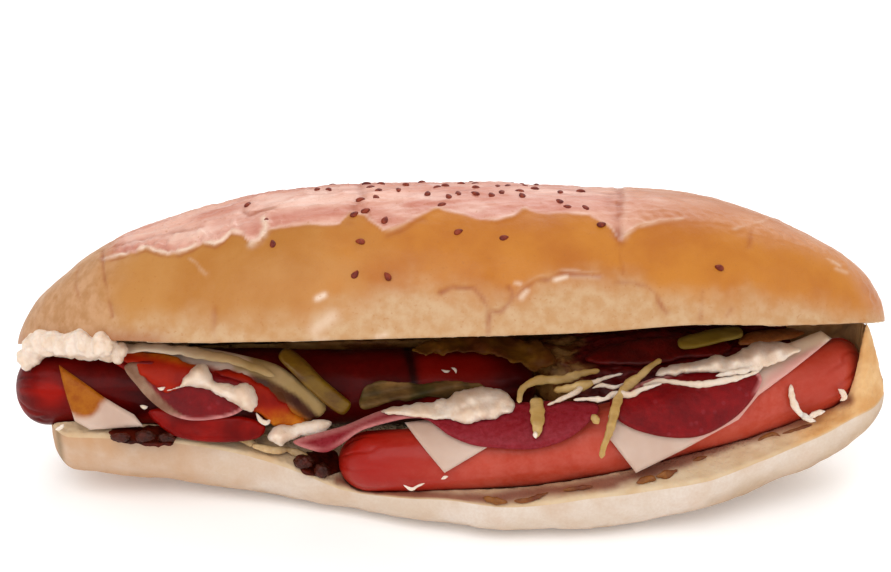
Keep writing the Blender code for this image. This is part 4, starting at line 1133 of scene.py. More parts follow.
def cheeseLook(t):
    mottle = t.group("mottle", Scale=60.0)
    color = t.mix(mottle["Broad"], "#CDAE9C", "#D8BEAE")
    color = t.mix(t.mask("orange"), color, t.mix(mottle["Fine"], "#9E5816", "#B26D27"))
    color = t.mix(t.mask("sauce"), color, t.mix(mottle["Fine"], "#7C150C", "#A8250F"))
    color = t.mix(t.mask("pink"), color, "#DFA79C")
    # painted shade: a dark olive-brown zone on the upper-left slice
    color = t.mix(t.mask("olive"), color, t.mix(mottle["Broad"], "#48200E", "#6E4A20"))
    color = t.mix(t.mask("tan"), color, t.mix(mottle["Broad"], "#A68A5C", "#C4A67C"))
    # pale cream; on the upper-left slice and the cheese glaze it is painted light, paler where they lie in the
    # crust's shade
    color = t.mix(t.mask("light"), color, "#F8DEC2")
    wet = t.group("wet", Scale=200.0)
    rough = t.span(t.mask("sauce"), 0.0, 1.0, (0.5, 0.22))
    return {"Base Color": color, "Roughness": rough, "Normal": t.bump(wet["Height"], 0.0003, 0.4)}


def cheeseMasks(**given):
    return {key: given.get(key, zero) for key in ("orange", "sauce", "pink", "olive", "tan", "light")}


def makeCheese():
    material = newMaterial("cheese", cheeseLook, Coat_Weight=0.03, Coat_Roughness=0.25, Specular_IOR_Level=0.12,
                           **flesh(0.25, (1.0, 0.7, 0.5), 0.003))
    sharp = dict(smooth=False, spacing=0.9, rim=0.9)
    makeSheet(
        "cheeseLeft", ["cheese_left"], material, "cheese",
        [(-126.5, 36.6), (-123.5, 26), (-121, 18.6), (-116, 15.8), (-109.5, 16.2), (-98.5, 17),
         (-101.6, 20.8), (-107, 23.7), (-111.5, 26.4), (-118, 31)],
        leftRun.place, thickness=1.7, wave=0.3, seed=1.0,
        masks=cheeseMasks(
            orange=inOutline(
                [(50, 355), (120, 395), (108, 400), (101, 410), (92, 417), (78, 419), (60, 412)], 1.2, 0.8),
            sauce=inOutline(
                [(58, 360), (76, 366), (112, 396), (122, 402), (150, 420), (160, 410), (110, 360)], 0.6, 0.4),
        ), **sharp,
    )
    makeSheet(
        "cheeseUpperLeft", ["cheese_upper_left"], material, "cheese",
        [(-112, 42.3), (-95, 42.3), (-80, 42), (-66, 39.5), (-55, 36.3), (-48, 31), (-40, 23.2),
         (-46, 18.5), (-60, 21), (-78, 25.5), (-96, 31), (-108, 37)],
        leftRun.place, thickness=1.7, spacing=1.0, wave=0.4, seed=2.0,
        masks=cheeseMasks(
            sauce=inOutline([(100, 352), (135, 354), (170, 362), (205, 368), (240, 374), (262, 380), (285, 395),
                             (290, 408), (262, 412), (225, 430), (150, 440), (90, 400)], 1.0, 1.4),
            orange=inOutline([(250, 402), (285, 398), (305, 412), (318, 424), (300, 432), (255, 428)], 2.0, 1.2),
            # painted shade under the slice's pale band
            olive=inOutline([(250, 374), (276, 378), (302, 390), (326, 408), (318, 428), (296, 412), (275, 398),
                             (258, 386)], 1.2, 0.8),
            tan=inOutline(
                [(225, 350), (300, 370), (345, 420), (322, 420), (296, 396), (268, 380), (236, 371)], 0.8, 0.5),
            # painted light along the slice's upper edge, which lies in the crust's shade
            light=inOutline([(95, 340), (200, 340), (240, 352), (250, 364), (225, 364), (190, 356), (150, 352),
                             (110, 352)], 1.6, 0.6),
        ),
    )
    # a thin film of cheese before the upper-left slice's edge, out of the crust's shade, painted lighter towards
    # its left end
    makeSheet(
        "cheeseGlaze", [], material, "cheese",
        seen([(102, 347), (130, 345), (165, 346), (200, 350), (235, 357), (262, 367), (276, 377), (262, 375),
              (235, 366), (205, 361), (170, 356), (140, 354), (112, 355)]),
        leftRun.place, lift=4.7, thickness=0.6, coarse=3.0, spacing=0.8, tear=0.6, tearSize=4.0, rim=1.4,
        underRim=0.0, wave=0.3, seed=25.0,
        masks=cheeseMasks(light=lambda x, rise, depth: 1 - smoothstep(x, -98, -72), tan=level(1.0)),
    )
    makeSheet(
        "cheeseMiddle", ["cheese_middle"], material, "cheese",
        [(-14.5, 18.5), (-8, 10.5), (-1.8, 3.2), (11.5, 11.2), (12, 16), (-4, 20)],
        rightRun.place, thickness=1.7, wave=0.2, seed=3.0, masks=cheeseMasks(), **sharp,
    )
    makeSheet(
        "cheeseRight", ["cheese_right"], material, "cheese",
        [(58.7, 3.0), (74, 10.2), (92, 19.5), (98.4, 27), (110, 35), (124, 45), (121, 47.5),
         (106, 42), (88, 36), (70, 31), (54, 27), (50, 21), (50.5, 13.5)],
        rightRun.place, lift=0.1, thickness=1.6, coarse=3.6, wave=0.2, seed=4.0,
        masks=cheeseMasks(
            pink=inOutline([(690, 440), (740, 400), (790, 360), (850, 325), (860, 345), (800, 385), (750, 430),
                            (715, 452)], 2.5, 1.0),
            light=inOutline([(752, 372), (790, 345), (835, 318), (850, 336), (806, 352), (775, 366)], 1.0, 0.5),
        ), **sharp,
    )


def salamiLook(t):
    mottle = t.group("mottle", Scale=110.0)
    fat = t.span(t.cells(260.0), 0.12, 0.26, (1.0, 0.0))
    grain = t.span(t.noise(420.0, 3.0), 0.42, 0.62)
    color = t.mix(mottle["Broad"], "#740F1C", "#8E2028")
    color = t.mix(t.math("MULTIPLY", fat, 0.12), color, "#B4606A")
    color = t.mix(t.math("MULTIPLY", grain, 0.25), color, "#5A0C1C")
    color = t.mix(t.mask("purple"), color, t.mix(mottle["Fine"], "#8A2A38", "#9C4048"))
    color = t.mix(t.mask("brown"), color, t.mix(mottle["Broad"], "#8A6452", "#B09078"))
    # the slices' pale edge, with a painted highlight along the middle slice's upper edge
    color = t.mix(t.mask("rim"), color, "#D8908C")
    return {"Base Color": color, "Normal": t.bump(mottle["Fine"], 0.0003, 0.5)}


def makeSalami():
    material = newMaterial("salami", salamiLook, Roughness=0.42, Coat_Weight=0.06, Coat_Roughness=0.2,
                           Specular_IOR_Level=0.12, **flesh(0.12, (1.0, 0.3, 0.25), 0.002))

    def curled(x, rise, depth):
        return 2.1 + 1.8 * np.exp(-depth / 1.6) * smoothstep(-x, 78, 92)

    makeSheet(
        "salamiLeft", ["salami_left"], material, "salami",
        [(-104.5, 36), (-100.5, 30.6), (-96.2, 25.8), (-90.6, 21.6), (-83.6, 19.2), (-75, 19.5),
         (-68, 21.4), (-63.5, 26), (-66, 31), (-76, 34), (-90, 37.2), (-100, 38)],
        leftRun.place, lift=curled, thickness=1.5, spacing=0.9,
        masks={
            "rim": lambda x, rise, depth: (1 - smoothstep(depth, 0.4, 1.3)) * smoothstep(x, -92, -84)
            * (1 - smoothstep(rise, 22, 26)),
            "brown": lambda x, rise, depth: smoothstep(3.2 * (1 - ((x + 98) / 15) ** 2) - depth, -0.5, 0.5)
            * (1 - smoothstep(rise + 0.5 * x, -14.5, -12)),
            "purple": zero,
        },
    )
    makeSheet(
        "salamiMiddle", ["salami_middle"], material, "salami",
        [(-50.5, 12), (-44, 9.6), (-38.7, 9.4), (-32.4, 13.3), (-27.4, 16.4), (-14.3, 19.8),
         (-7, 19.4), (-1, 15.4), (6.3, 12.3), (14.5, 11.2), (27, 11), (37.6, 14.4), (45, 20.5),
         (46.5, 24.6), (33, 25.5), (15, 24.6), (-5, 24), (-20, 22.8), (-34, 17.4), (-44, 14.6)],
        rightRun.place, lift=2.1, thickness=1.6, coarse=4.2, spacing=0.9,
        masks={
            # painted highlight along the tail's upper edge
            "rim": lambda x, rise, depth: 0.75 * (1 - smoothstep(depth, 0.2, 2.2)) * (1 - smoothstep(x, -15, 0))
            * smoothstep(rise - 0.33 * x, 22, 25),
            "brown": zero, "purple": level(0.8),
        },
    )
    makeSheet(
        "salamiRight", ["salami_right"], material, "salami",
        [(51.6, 21.2), (58, 16.9), (69.4, 14.2), (80.6, 14.9), (91.5, 21), (98.2, 29),
         (99, 34), (90, 37), (72, 34.5), (56, 29.5), (51, 26)],
        rightRun.place, lift=2.2, thickness=1.5, coarse=4.0, spacing=0.9,
        masks={
            "rim": lambda x, rise, depth: (1 - smoothstep(depth, 0.6, 1.2)) * smoothstep(rise, 27, 29),
            "brown": zero, "purple": zero,
        },
    )


def tomatoLook(t):
    mottle = t.group("mottle", Scale=80.0)
    color = t.mix(mottle["Broad"], "#6E1008", "#9A240E")
    wet = t.group("wet", Scale=220.0)
    return {"Base Color": color, "Normal": t.bump(wet["Height"], 0.0004, 0.5)}


def makeTomato():
    material = newMaterial("tomato", tomatoLook, Roughness=0.4, Coat_Weight=0.04, Coat_Roughness=0.1,
                           Specular_IOR_Level=0.08, **flesh(0.2, (1.0, 0.25, 0.15), 0.003))
    makeSheet(
        "tomatoLeft", ["tomato_left"], material, "tomato",
        [(-97, 21.5), (-91, 15.5), (-84, 12.8), (-72, 12), (-62, 13.2), (-59.5, 17), (-66, 20),
         (-80, 21), (-90, 23)],
        leftRun.place, thickness=1.9, spacing=0.9, rim=0.9, wave=0.3, seed=8.0,
    )


creamLook = mottledLook(("#ECD0B6", "#F7E6D6", "#E2BFA4"), 180.0, share=0.3, strength=0.35)
creamMaterial = newMaterial("cream", creamLook, Roughness=0.4, Coat_Weight=0.2, Coat_Roughness=0.15,
                            **flesh(0.35, (1.0, 0.75, 0.5), 0.003))


def makeDollop(name, node, place, lift, corners, bumps, base, seed):
    # bumps: x, rise, size and height of each swelling
    makeSheet(
        name, [node], creamMaterial, "cream", corners, place, lift=lift, thickness=lumps(bumps, base, seed),
        seed=seed, spacing=0.8, tear=0.7, tearSize=3.0, rim=1.0, coarse=3.6,
    )


def makeCream():
    makeDollop(
        "creamLeftLumps", "cream_left_lumps", leftRun.place, 4.3,
        [(-90.5, 28.6), (-86, 31), (-82.5, 36), (-78, 36.8), (-75.5, 32), (-69, 30.5), (-64, 31),
         (-61.5, 26), (-63.5, 22), (-69, 24.4), (-76, 28.4), (-83, 30)],
        [(-80.5, 34, 3, 3.2), (-77.6, 31, 2, 1.5), (-85, 30.6, 1.8, 1.0), (-71, 27.6, 2.4, 1.6),
         (-65.5, 27.4, 3, 3.0), (-64.6, 23.6, 2, 1.4)],
        base=1.0, seed=1.0,
    )
    makeDollop(
        "creamMidLeft", "cream_mid_left", leftRun.place, 2.2,
        [(-58.5, 13), (-54.5, 10.8), (-50, 13.5), (-41.5, 15), (-38.5, 18), (-44, 19), (-50, 17.5), (-56, 17.2)],
        [(-55, 14, 3, 3)], base=1.4, seed=2.0,
    )
    makeDollop(
        "creamMiddle", "cream_middle", rightRun.place, 4.1,
        [(-22, 22), (-12, 20.6), (0, 19.6), (4, 18.6), (9, 19.2), (18.5, 22), (19.6, 26.5),
         (14, 29.5), (5, 29), (-2, 26), (-14, 24.2)],
        [(8, 25, 5, 2.4), (6.5, 27.4, 2, 1.3), (11.3, 28.2, 2, 1.2), (15.8, 26.4, 2, 1.3), (9.4, 22.4, 2, 1.4),
         (14.6, 23.4, 1.8, 1.2), (1.6, 24.6, 2.2, 0.8)],
        base=0.9, seed=3.0,
    )
    makeDollop(
        "creamRight", "cream_right", rightRun.place, 4.1,
        [(65.5, 33.4), (70, 33.6), (76, 34), (84, 34.4), (92, 35), (98, 35), (105, 37.6),
         (113, 41.5), (108, 43.6), (99.5, 43.8), (94.5, 41.6), (89.5, 39.6), (84.5, 39.6),
         (79, 37.6), (73, 37), (68, 35.9)],
        [(70.3, 34.8, 1.8, 1.6), (75, 35.8, 2, 2.0), (80, 36.2, 2, 2.2), (84.5, 38, 2.2, 2.6),
         (91, 38.8, 2.2, 2.4), (98, 40.5, 3, 3), (104.8, 41.6, 2.4, 2.2)],
        base=0.7, seed=4.0,
    )


def makeCreamLeft():
    # balls that melt into one band, with smaller curds over it
    shape = bmesh.new()
    lower = [(-136.8, -9, 46.8, 3.5), (-133, -6, 50.2, 3.4), (-126.5, -8.5, 51.2, 3.6), (-119, -11, 52.2, 3.8),
             (-112, -14, 53, 3.8), (-106.5, -18, 53.6, 3.4)]
    upper = [(-134, -9, 51.5, 3.9), (-127.5, -12, 54.2, 3.9), (-122.5, -15.5, 54.6, 3.3),
             (-118.5, -17.5, 57, 3.7), (-113.5, -20, 56.2, 3.2), (-110, -22, 58.2, 3.9)]
    pairs = [pair for row in (lower, upper) for pair in zip(row, row[1:])]
    links = [tuple((a + b) / 2 for a, b in zip(*pair)) for pair in pairs]
    for x, y, z, size in lower + upper + links:
        made = bmesh.ops.create_icosphere(shape, subdivisions=4, radius=size * mm)
        for vertex in made["verts"]:
            vertex.co *= 1 + 0.22 * noise.fractal(vertex.co * 300 + Vector((x, y, z)), 1.0, 2.0, 3)
        bmesh.ops.translate(shape, verts=made["verts"], vec=Vector((x, y, z)) * mm)
    mesh = bpy.data.meshes.new("creamLeft")
    shape.to_mesh(mesh)
    shape.free()
    holder = bpy.data.objects.new("creamLeft", mesh)
    blend = holder.modifiers.new("blend", "REMESH")
    blend.mode = "VOXEL"
    blend.voxel_size = 0.5 * mm
    smooth = holder.modifiers.new("smooth", "SMOOTH")
    smooth.iterations = 26
    bpy.context.scene.collection.objects.link(holder)
    bpy.context.view_layer.update()
    done = bpy.data.meshes.new_from_object(holder.evaluated_get(bpy.context.evaluated_depsgraph_get()))
    bpy.data.objects.remove(holder)
    done.name = "creamLeft"
    points, normals = np.empty(3 * len(done.vertices)), np.empty(3 * len(done.vertices))
    done.vertices.foreach_get("co", points)
    done.vertex_normals.foreach_get("vector", normals)
    points, normals = points.reshape(-1, 3) / mm, normals.reshape(-1, 3)
    curds = 1.7 * np.abs(field(points, 5.2, 1, 3.0)) + 0.9 * np.abs(field(points, 2.6, 1, 9.0)) - 0.35
    done.vertices.foreach_set("co", ((points + normals * curds[:, None]) * mm).ravel())
    done.shade_smooth()
    newPiece("creamLeft", done, creamMaterial, ["cream_left"])


makeBottom()
print("lower half made")
makeSausages()
makeCheese()
makeSalami()
makeTomato()
makeCream()
makeCreamLeft()
print("fillings made")


# Strands: shreds, strips and threads laid along a path

def openCurve(path, spacing):
    path = [np.array(point, float) for point in path]
    path = [2 * path[0] - path[1]] + path + [2 * path[-1] - path[-2]]
    line = []
    for before, here, ahead, after in zip(path, path[1:], path[2:], path[3:]):
        steps = max(2, round(float(np.linalg.norm(ahead - here)) / spacing))
        for t in np.arange(steps) / steps:
            line.append(splinePoint(before, here, ahead, after, t))
    line.append(path[-2])
    return np.array(line)


# rings round a path of (x, rise); ends are the widths at its two tips, as shares of the width
def strandGrid(path, place, lift, width, height, sides=14, spacing=0.5, ends=(0.35, 0.35), wobble=0.12, seed=0.0):
    line = openCurve(path, spacing)
    x, rise = line.T
    share = np.linspace(0, 1, len(line))
    fromTip = np.clip(np.minimum(share, 1 - share) * len(line) / 3, 0, 1)
    rounding = np.sqrt(np.clip(1 - (1 - fromTip) ** 2, 0.02, 1))
    taper = 1 - (1 - ends[0]) * (1 - smoothstep(share, 0, 0.35)) - (1 - ends[1]) * smoothstep(share, 0.65, 1)
    uneven = 1 + wobble * field(np.stack([x, rise, 0 * x + seed], axis=-1), 2.5, 2, seed)
    size = rounding * taper * uneven
    liftAt = lift(x, rise) if callable(lift) else lift
    centre = place(x, rise, liftAt + height / 2)
    normal = place(x, rise, liftAt + 1.0 + height / 2) - centre
    along = np.gradient(centre, axis=0)
    side = np.cross(along, normal)
    side /= np.linalg.norm(side, axis=-1, keepdims=True)
    normal = np.cross(side, along)
    normal /= np.linalg.norm(normal, axis=-1, keepdims=True)
    angles = np.linspace(0, 2 * math.pi, sides, endpoint=False)
    across = signedPower(np.cos(angles), 0.8) * width / 2
    up = signedPower(np.sin(angles), 0.8) * height / 2
    return (centre[:, None] + side[:, None] * (across[None] * size[:, None])[..., None]
            + normal[:, None] * (up[None] * size[:, None])[..., None])


def joined(name, grids):
    # one mesh of several closed strands
    points, faces, base = [], [], 0
    for grid in grids:
        rows, columns = grid.shape[:2]
        points += [grid.reshape(-1, 3), grid[0].mean(axis=0)[None], grid[-1].mean(axis=0)[None]]
        faces += [tuple(base + index for index in face) for face in loftFaces(rows, columns)]
        base += rows * columns + 2
    mesh = meshOf(name, np.concatenate(points), faces)
    faceOutward(mesh)
    return mesh


def greenLook(*colors):
    def look(t):
        mottle = t.group("mottle", Scale=90.0)
        veins = t.noise(300.0, 4.0, 0.6, (0.35, 1.0, 1.0))
        color = t.mix(mottle["Broad"], colors[0], colors[1])
        color = t.mix(t.math("MULTIPLY", t.span(veins, 0.4, 0.65), 0.5), color, colors[2])
        return {"Base Color": color, "Normal": t.bump(veins, 0.0004, 0.6)}
    return look


def wetMaterial(name, look, **more):
    given = dict(Roughness=0.4, Specular_IOR_Level=0.25, Coat_Weight=0.1, Coat_Roughness=0.12,
                 **flesh(0.15, (1.0, 0.8, 0.3), 0.002))
    given.update(more)
    return newMaterial(name, look, **given)


pickleMaterial = wetMaterial("pickle", greenLook("#6A4A12", "#86681E", "#523A0C"))
shredMaterial = wetMaterial("shred", greenLook("#BC9658", "#D8B880", "#A07A44"), Subsurface_Weight=0.3)
leafMaterial = wetMaterial("leaf", greenLook("#565038", "#94704A", "#403020"), Roughness=0.45,
                            Specular_IOR_Level=0.12, Coat_Weight=0.02)
darkLeafMaterial = wetMaterial("leafDark", greenLook("#6A4220", "#86602C", "#4E2C14"), Roughness=0.55,
                                Specular_IOR_Level=0.1, Coat_Weight=0.02)


def makeGreens():
    makeSheet(
        "pickleLeft", ["pickle_left"], pickleMaterial, "pickle",
        stripOutline([(-54, 40.6), (-49, 36.5), (-42.5, 30), (-36, 24.5), (-33, 22.4)], 5.6),
        leftRun.place, lift=2.2, thickness=2.6, coarse=3.4, spacing=0.8, rim=1.3,
    )
    makeSheet(
        "lettuceFront", ["lettuce_front"], leafMaterial, "salad",
        [(-29, 24), (-27, 30), (-20, 31.5), (-10, 30.5), (2, 31.5), (12, 29), (10, 25.5),
         (-6, 26), (-20, 24.5), (-26, 22.8)],
        leftRun.place, lift=lambda x, rise, depth: 1.1 + 0.9 * np.sin(rise / 1.1 - x / 5),
        thickness=0.9, coarse=3.2, spacing=0.7, tear=0.9, tearSize=6.0, wave=0.3, waveSize=5.0, seed=5.0, rim=0.4,
    )
    makeSheet(
        "lettuceInner", ["lettuce_inner"], darkLeafMaterial, "salad",
        [(-12, 41.2), (-6, 44.6), (6, 45.6), (18, 45.4), (30, 43), (34, 38.6), (28, 35), (20, 38),
         (8, 40.6), (-4, 40)],
        leftRun.place, lift=lambda x, rise, depth: 1.2 + 0.8 * np.sin(x / 2.3 + rise / 2),
        thickness=0.9, coarse=3.4, spacing=0.7, tear=1.2, tearSize=3.0, wave=0.7, waveSize=3.0, seed=6.0, rim=0.4,
    )
    # a lighter copy of the pickle colours: painted light for the strip that lies in shade under the crust
    shaded = wetMaterial("pickleLitCopy", greenLook("#A88A40", "#C4A658", "#86682C"))
    makeSheet(
        "pickleRight", ["pickle_right"], shaded, "pickle",
        stripOutline([(75, 43.2), (82, 44.6), (89, 46.2), (95.5, 47)], 4.6),
        heapPlace, lift=2.5, thickness=1.7, coarse=3.4, spacing=0.8, rim=0.9,
    )


def makeShreds():
    # piece, node, width, widths of the ends, path
    for piece, node, width, ends, path in (
        ("shredArc", "shred_arc", 3.0, (0.6, 0.6),
         [(21.8, 25.0), (23, 29.2), (28, 31.8), (36, 32.2), (42, 34), (48, 35)]),
        ("shredHanging", "shred_hanging", 4.4, (1.0, 0.3), [(27.3, 26.6), (27.5, 21), (27.2, 14.6)]),
        ("shredSide", "shred_side", 3.0, (0.6, 0.6), [(33, 28.8), (40, 29.8), (46, 31.4)]),
        ("shredLong", "shred_long", 3.0, (0.6, 0.6),
         [(67.9, 38.4), (64.2, 36.3), (60.6, 33.3), (57.1, 30.9), (54.1, 27.9), (52.3, 24.3),
          (51.1, 20.1), (49.8, 15.8), (48.1, 11.6), (47.4, 8)]),
        ("shredBranch", "shred_branch", 3.0, (0.6, 0.6), [(44.6, 21.6), (46.6, 18.8)]),
    ):
        grid = strandGrid(path, rightRun.place, lift=4.15, width=width, height=1.6, wobble=0.35,
                          seed=len(path), ends=ends)
        newPiece(piece, joined(piece, [grid]), shredMaterial, [node])


# Salad at the back of the opening, and what lies on it

heapFoot = through([(-96, 11), (-30, 12), (20, 12), (33, 0), (46, -13), (80, -7), (105, 2), (122, 9)])
heapBrow = through([(-96, 9), (-30, 9), (18, 9), (34, 0), (50, -8), (90, -4), (124, 6)])
heapRise = through([(-96, 41), (-60, 43), (-14, 44), (18, 44), (40, 36), (90, 38), (124, 45)])
heapShape = dict(clearance=0.8, back=6.0, drop=3.7)


def heapLine(x):
    # the heap's outline in depth: its back, where its top meets its front, and its brow
    middle, half = plan(x)
    backY = middle + half - heapShape["back"]
    browY = heapBrow(x)
    meetY = browY + np.minimum(17.0, 0.6 * (backY - browY))
    meetZ = cutPlane(x, meetY) - heapShape["clearance"] - heapShape["drop"]
    return backY, meetY, meetZ, browY, (heapRise(x) - browY * upward[0]) / upward[1]


def breadLevel(x, y):
    # height of the lower half's cut face, before anything presses it down
    middle, half = plan(x)
    rim = frontRim(x)
    hinge = cutPlane(x, middle + half) - gap
    return rim + (hinge - rim) * (y + frontDepth(x)) / (middle + half + frontDepth(x))


def heapPlace(x, rise, lift):
    # over the front of the heap
    _, meetY, meetZ, browY, browZ = heapLine(x)
    alongY, alongZ = meetY - browY, meetZ - browZ
    length = np.hypot(alongY, alongZ)
    alongY, alongZ = alongY / length, alongZ / length
    startY, startZ = browY - alongZ * (lift + 1.0), browZ + alongY * (lift + 1.0)
    ahead = (rise - startY * upward[0] - startZ * upward[1]) / (alongY * upward[0] + alongZ * upward[1])
    return np.stack(np.broadcast_arrays(x, startY + alongY * ahead, startZ + alongZ * ahead), axis=-1)


def breadPlace(x, rise, lift):
    # over the front of the lower half's cut face
    slope = np.array([1.0, 0.2]) / math.hypot(1.0, 0.2)
    startY = -frontDepth(x) - slope[1] * (lift + gap)
    startZ = frontRim(x) + slope[0] * (lift + gap)
    ahead = (rise - startY * upward[0] - startZ * upward[1]) / (slope @ upward)
    return np.stack(np.broadcast_arrays(x, startY + slope[0] * ahead, startZ + slope[1] * ahead), axis=-1)


def heapLook(t):
    shredded = t.noise(150.0, 5.0, 0.65, (0.5, 1.0, 1.0))
    mottle = t.group("mottle", Scale=60.0)
    color = t.mix(mottle["Broad"], "#A87040", "#C89A60")
    color = t.mix(t.span(shredded, 0.45, 0.6), color, "#84502C")
    color = t.mix(t.mask("maroon"), color, t.mix(mottle["Fine"], "#5C1610", "#7A241A"))
    return {"Base Color": color, "Normal": t.bump(shredded, 0.0015, 0.8)}


def makeHeap():
    xs = np.linspace(-88, 112, 230)[:, None]
    lowY = heapFoot(xs)
    backY, meetY, meetZ, browY, browZ = heapLine(xs)
    clear = heapShape["clearance"]
    shares = np.linspace(0, 1, 30)[None]
    backZ = breadLevel(xs, backY) + clear
    topY = backY + (meetY - backY) * shares
    topZ = cutPlane(xs, topY) - clear - heapShape["drop"] * shares**2
    frontY = meetY + (browY - meetY) * shares[:, 1:]
    frontZ = meetZ + (browZ - meetZ) * shares[:, 1:]
    downShares = np.linspace(0, 1, 16)[None, 1:]
    lowZ = breadLevel(xs, lowY) + clear
    downY = browY + (lowY - browY) * downShares
    downZ = browZ + (lowZ - browZ) * downShares
    floorY = lowY + (backY - lowY) * shares[:, 1:]
    floorZ = lowZ + (backZ - lowZ) * shares[:, 1:]
    y = np.concatenate([topY, frontY, downY, floorY], axis=1)
    z = np.concatenate([topZ, frontZ, downZ, floorZ], axis=1)
    grid = np.stack([np.broadcast_to(xs, y.shape), y, z], axis=-1)
    rough = field(grid, (9, 4, 4), 4, 3.0)
    ridged = 1 - np.abs(field(grid, (7, 3, 3), 3, 8.0)) * 2
    relief = 1.0 * rough + 1.0 * np.clip(ridged, -0.4, 1)
    grid = grid + normalsOf(grid) * relief[..., None]
    grid[..., 2] = np.minimum(grid[..., 2], cutPlane(grid[..., 0], grid[..., 1]) - 0.3)
    maroon = smoothstep(grid[..., 0] + 8 * rough, 36, 46)
    material = wetMaterial("salad", heapLook, Roughness=0.5, Subsurface_Weight=0.0)
    newPiece("saladHeap", loftMesh("saladHeap", grid, {"maroon": maroon}), material, ["salad_heap"])


def meatLook(*colors):
    return mottledLook(colors, 120.0, share=0.4)


def makeInner():
    dark = wetMaterial("meatDark", meatLook("#661C14", "#86281C", "#4A100C"))
    makeSheet(
        "meatInner", ["meat_inner"], dark, "salami",
        [(44, 38), (50, 42), (62, 44.6), (76, 45.6), (88, 45), (92, 42), (86, 39.5), (72, 37.8),
         (56, 36.2)],
        heapPlace, lift=0.3, thickness=1.6, spacing=0.9, tear=0.6, wave=0.4, seed=11.0,
    )
    ham = wetMaterial("ham", meatLook("#C07040", "#D89058", "#A05030"))
    makeSheet(
        "hamInner", ["ham_inner"], ham, "salami",
        [(95, 42.6), (97, 46), (104, 47.4), (113, 48), (117, 46.6), (112, 44.6), (104, 43.4)],
        heapPlace, lift=0.3, thickness=1.4, spacing=0.9, tear=0.4, wave=0.4, seed=12.0,
    )


def makeBits():
    look = mottledLook(("#3C1A0C", "#5E3016", "#6A4026"), 240.0, share=0.3, depth=0.0004)
    material = wetMaterial("bit", look, Roughness=0.35, Coat_Weight=0.12, Specular_IOR_Level=0.15,
                           Subsurface_Weight=0.0)
    # x, rise and half sizes of each
    places = [
        (-105.5, 13.6, (3.2, 1.5, 1.5)), (-98.0, 13.9, (3.4, 1.7, 1.9)), (-91.2, 13.4, (2.8, 1.5, 1.6)),
        (-47.0, 5.6, (3.2, 2.3, 2.4)), (-41.2, 2.8, (2.5, 2.2, 2.4)),
    ]
    for index, (x, rise, size) in enumerate(places):
        centre = breadPlace(x, rise, size[2] + 0.3)
        shape = bmesh.new()
        bmesh.ops.create_icosphere(shape, subdivisions=5, radius=1.0)
        for vertex in shape.verts:
            uneven = 1 + 0.22 * noise.noise(vertex.co * 1.7 + Vector((3.1 * index, 0, 0)))
            uneven += 0.07 * noise.fractal(vertex.co * 3.5 + Vector((index, 4, 0)), 1.0, 2.0, 3)
            vertex.co = Vector([(centre[i] + vertex.co[i] * size[i] * uneven) * mm for i in range(3)])
        name = f"bit{index + 1}"
        newPiece(name, meshFrom(shape, name), material, [f"bit_{index + 1}"])


def makeOnion():
    material = wetMaterial("onion", meatLook("#D2AE80", "#E0C498", "#B08458"), Subsurface_Weight=0.3)
    path = [(-64, 10.8), (-57, 9.2), (-51, 9.4)]
    grid = strandGrid(path, breadPlace, lift=0.9, width=2.4, height=2.2, wobble=0.3, ends=(0.7, 0.5))
    newPiece("onionStick", joined("onionStick", [grid]), material, ["onion_stick"])
    layThreads("onionThreads", [
        ([(234, 440), (246, 444), (259, 447)], 2.0, 1.4, 0.6),
        ([(284, 452), (299, 456), (312, 463)], 2.0, 1.4, 0.6),
        ([(262, 438), (274, 441), (284, 446)], 1.3, 1.0, 0.6),
    ], breadPlace, material)


# Small trim: sauce, threads of cream and crumbs, with painted highlights and painted shade among them

def sauceLook(t):
    wet = t.group("wet", Scale=160.0)
    mottle = t.group("mottle", Scale=70.0)
    color = t.mix(mottle["Broad"], "#86200E", "#B03C16")
    color = t.mix(t.mask("orange"), color, t.mix(mottle["Fine"], "#AE5C1C", "#CE8430"))
    color = t.mix(t.mask("brown"), color, t.mix(mottle["Fine"], "#3C1A0C", "#643418"))
    return {"Base Color": color, "Normal": t.bump(wet["Height"], 0.0006, 0.5)}


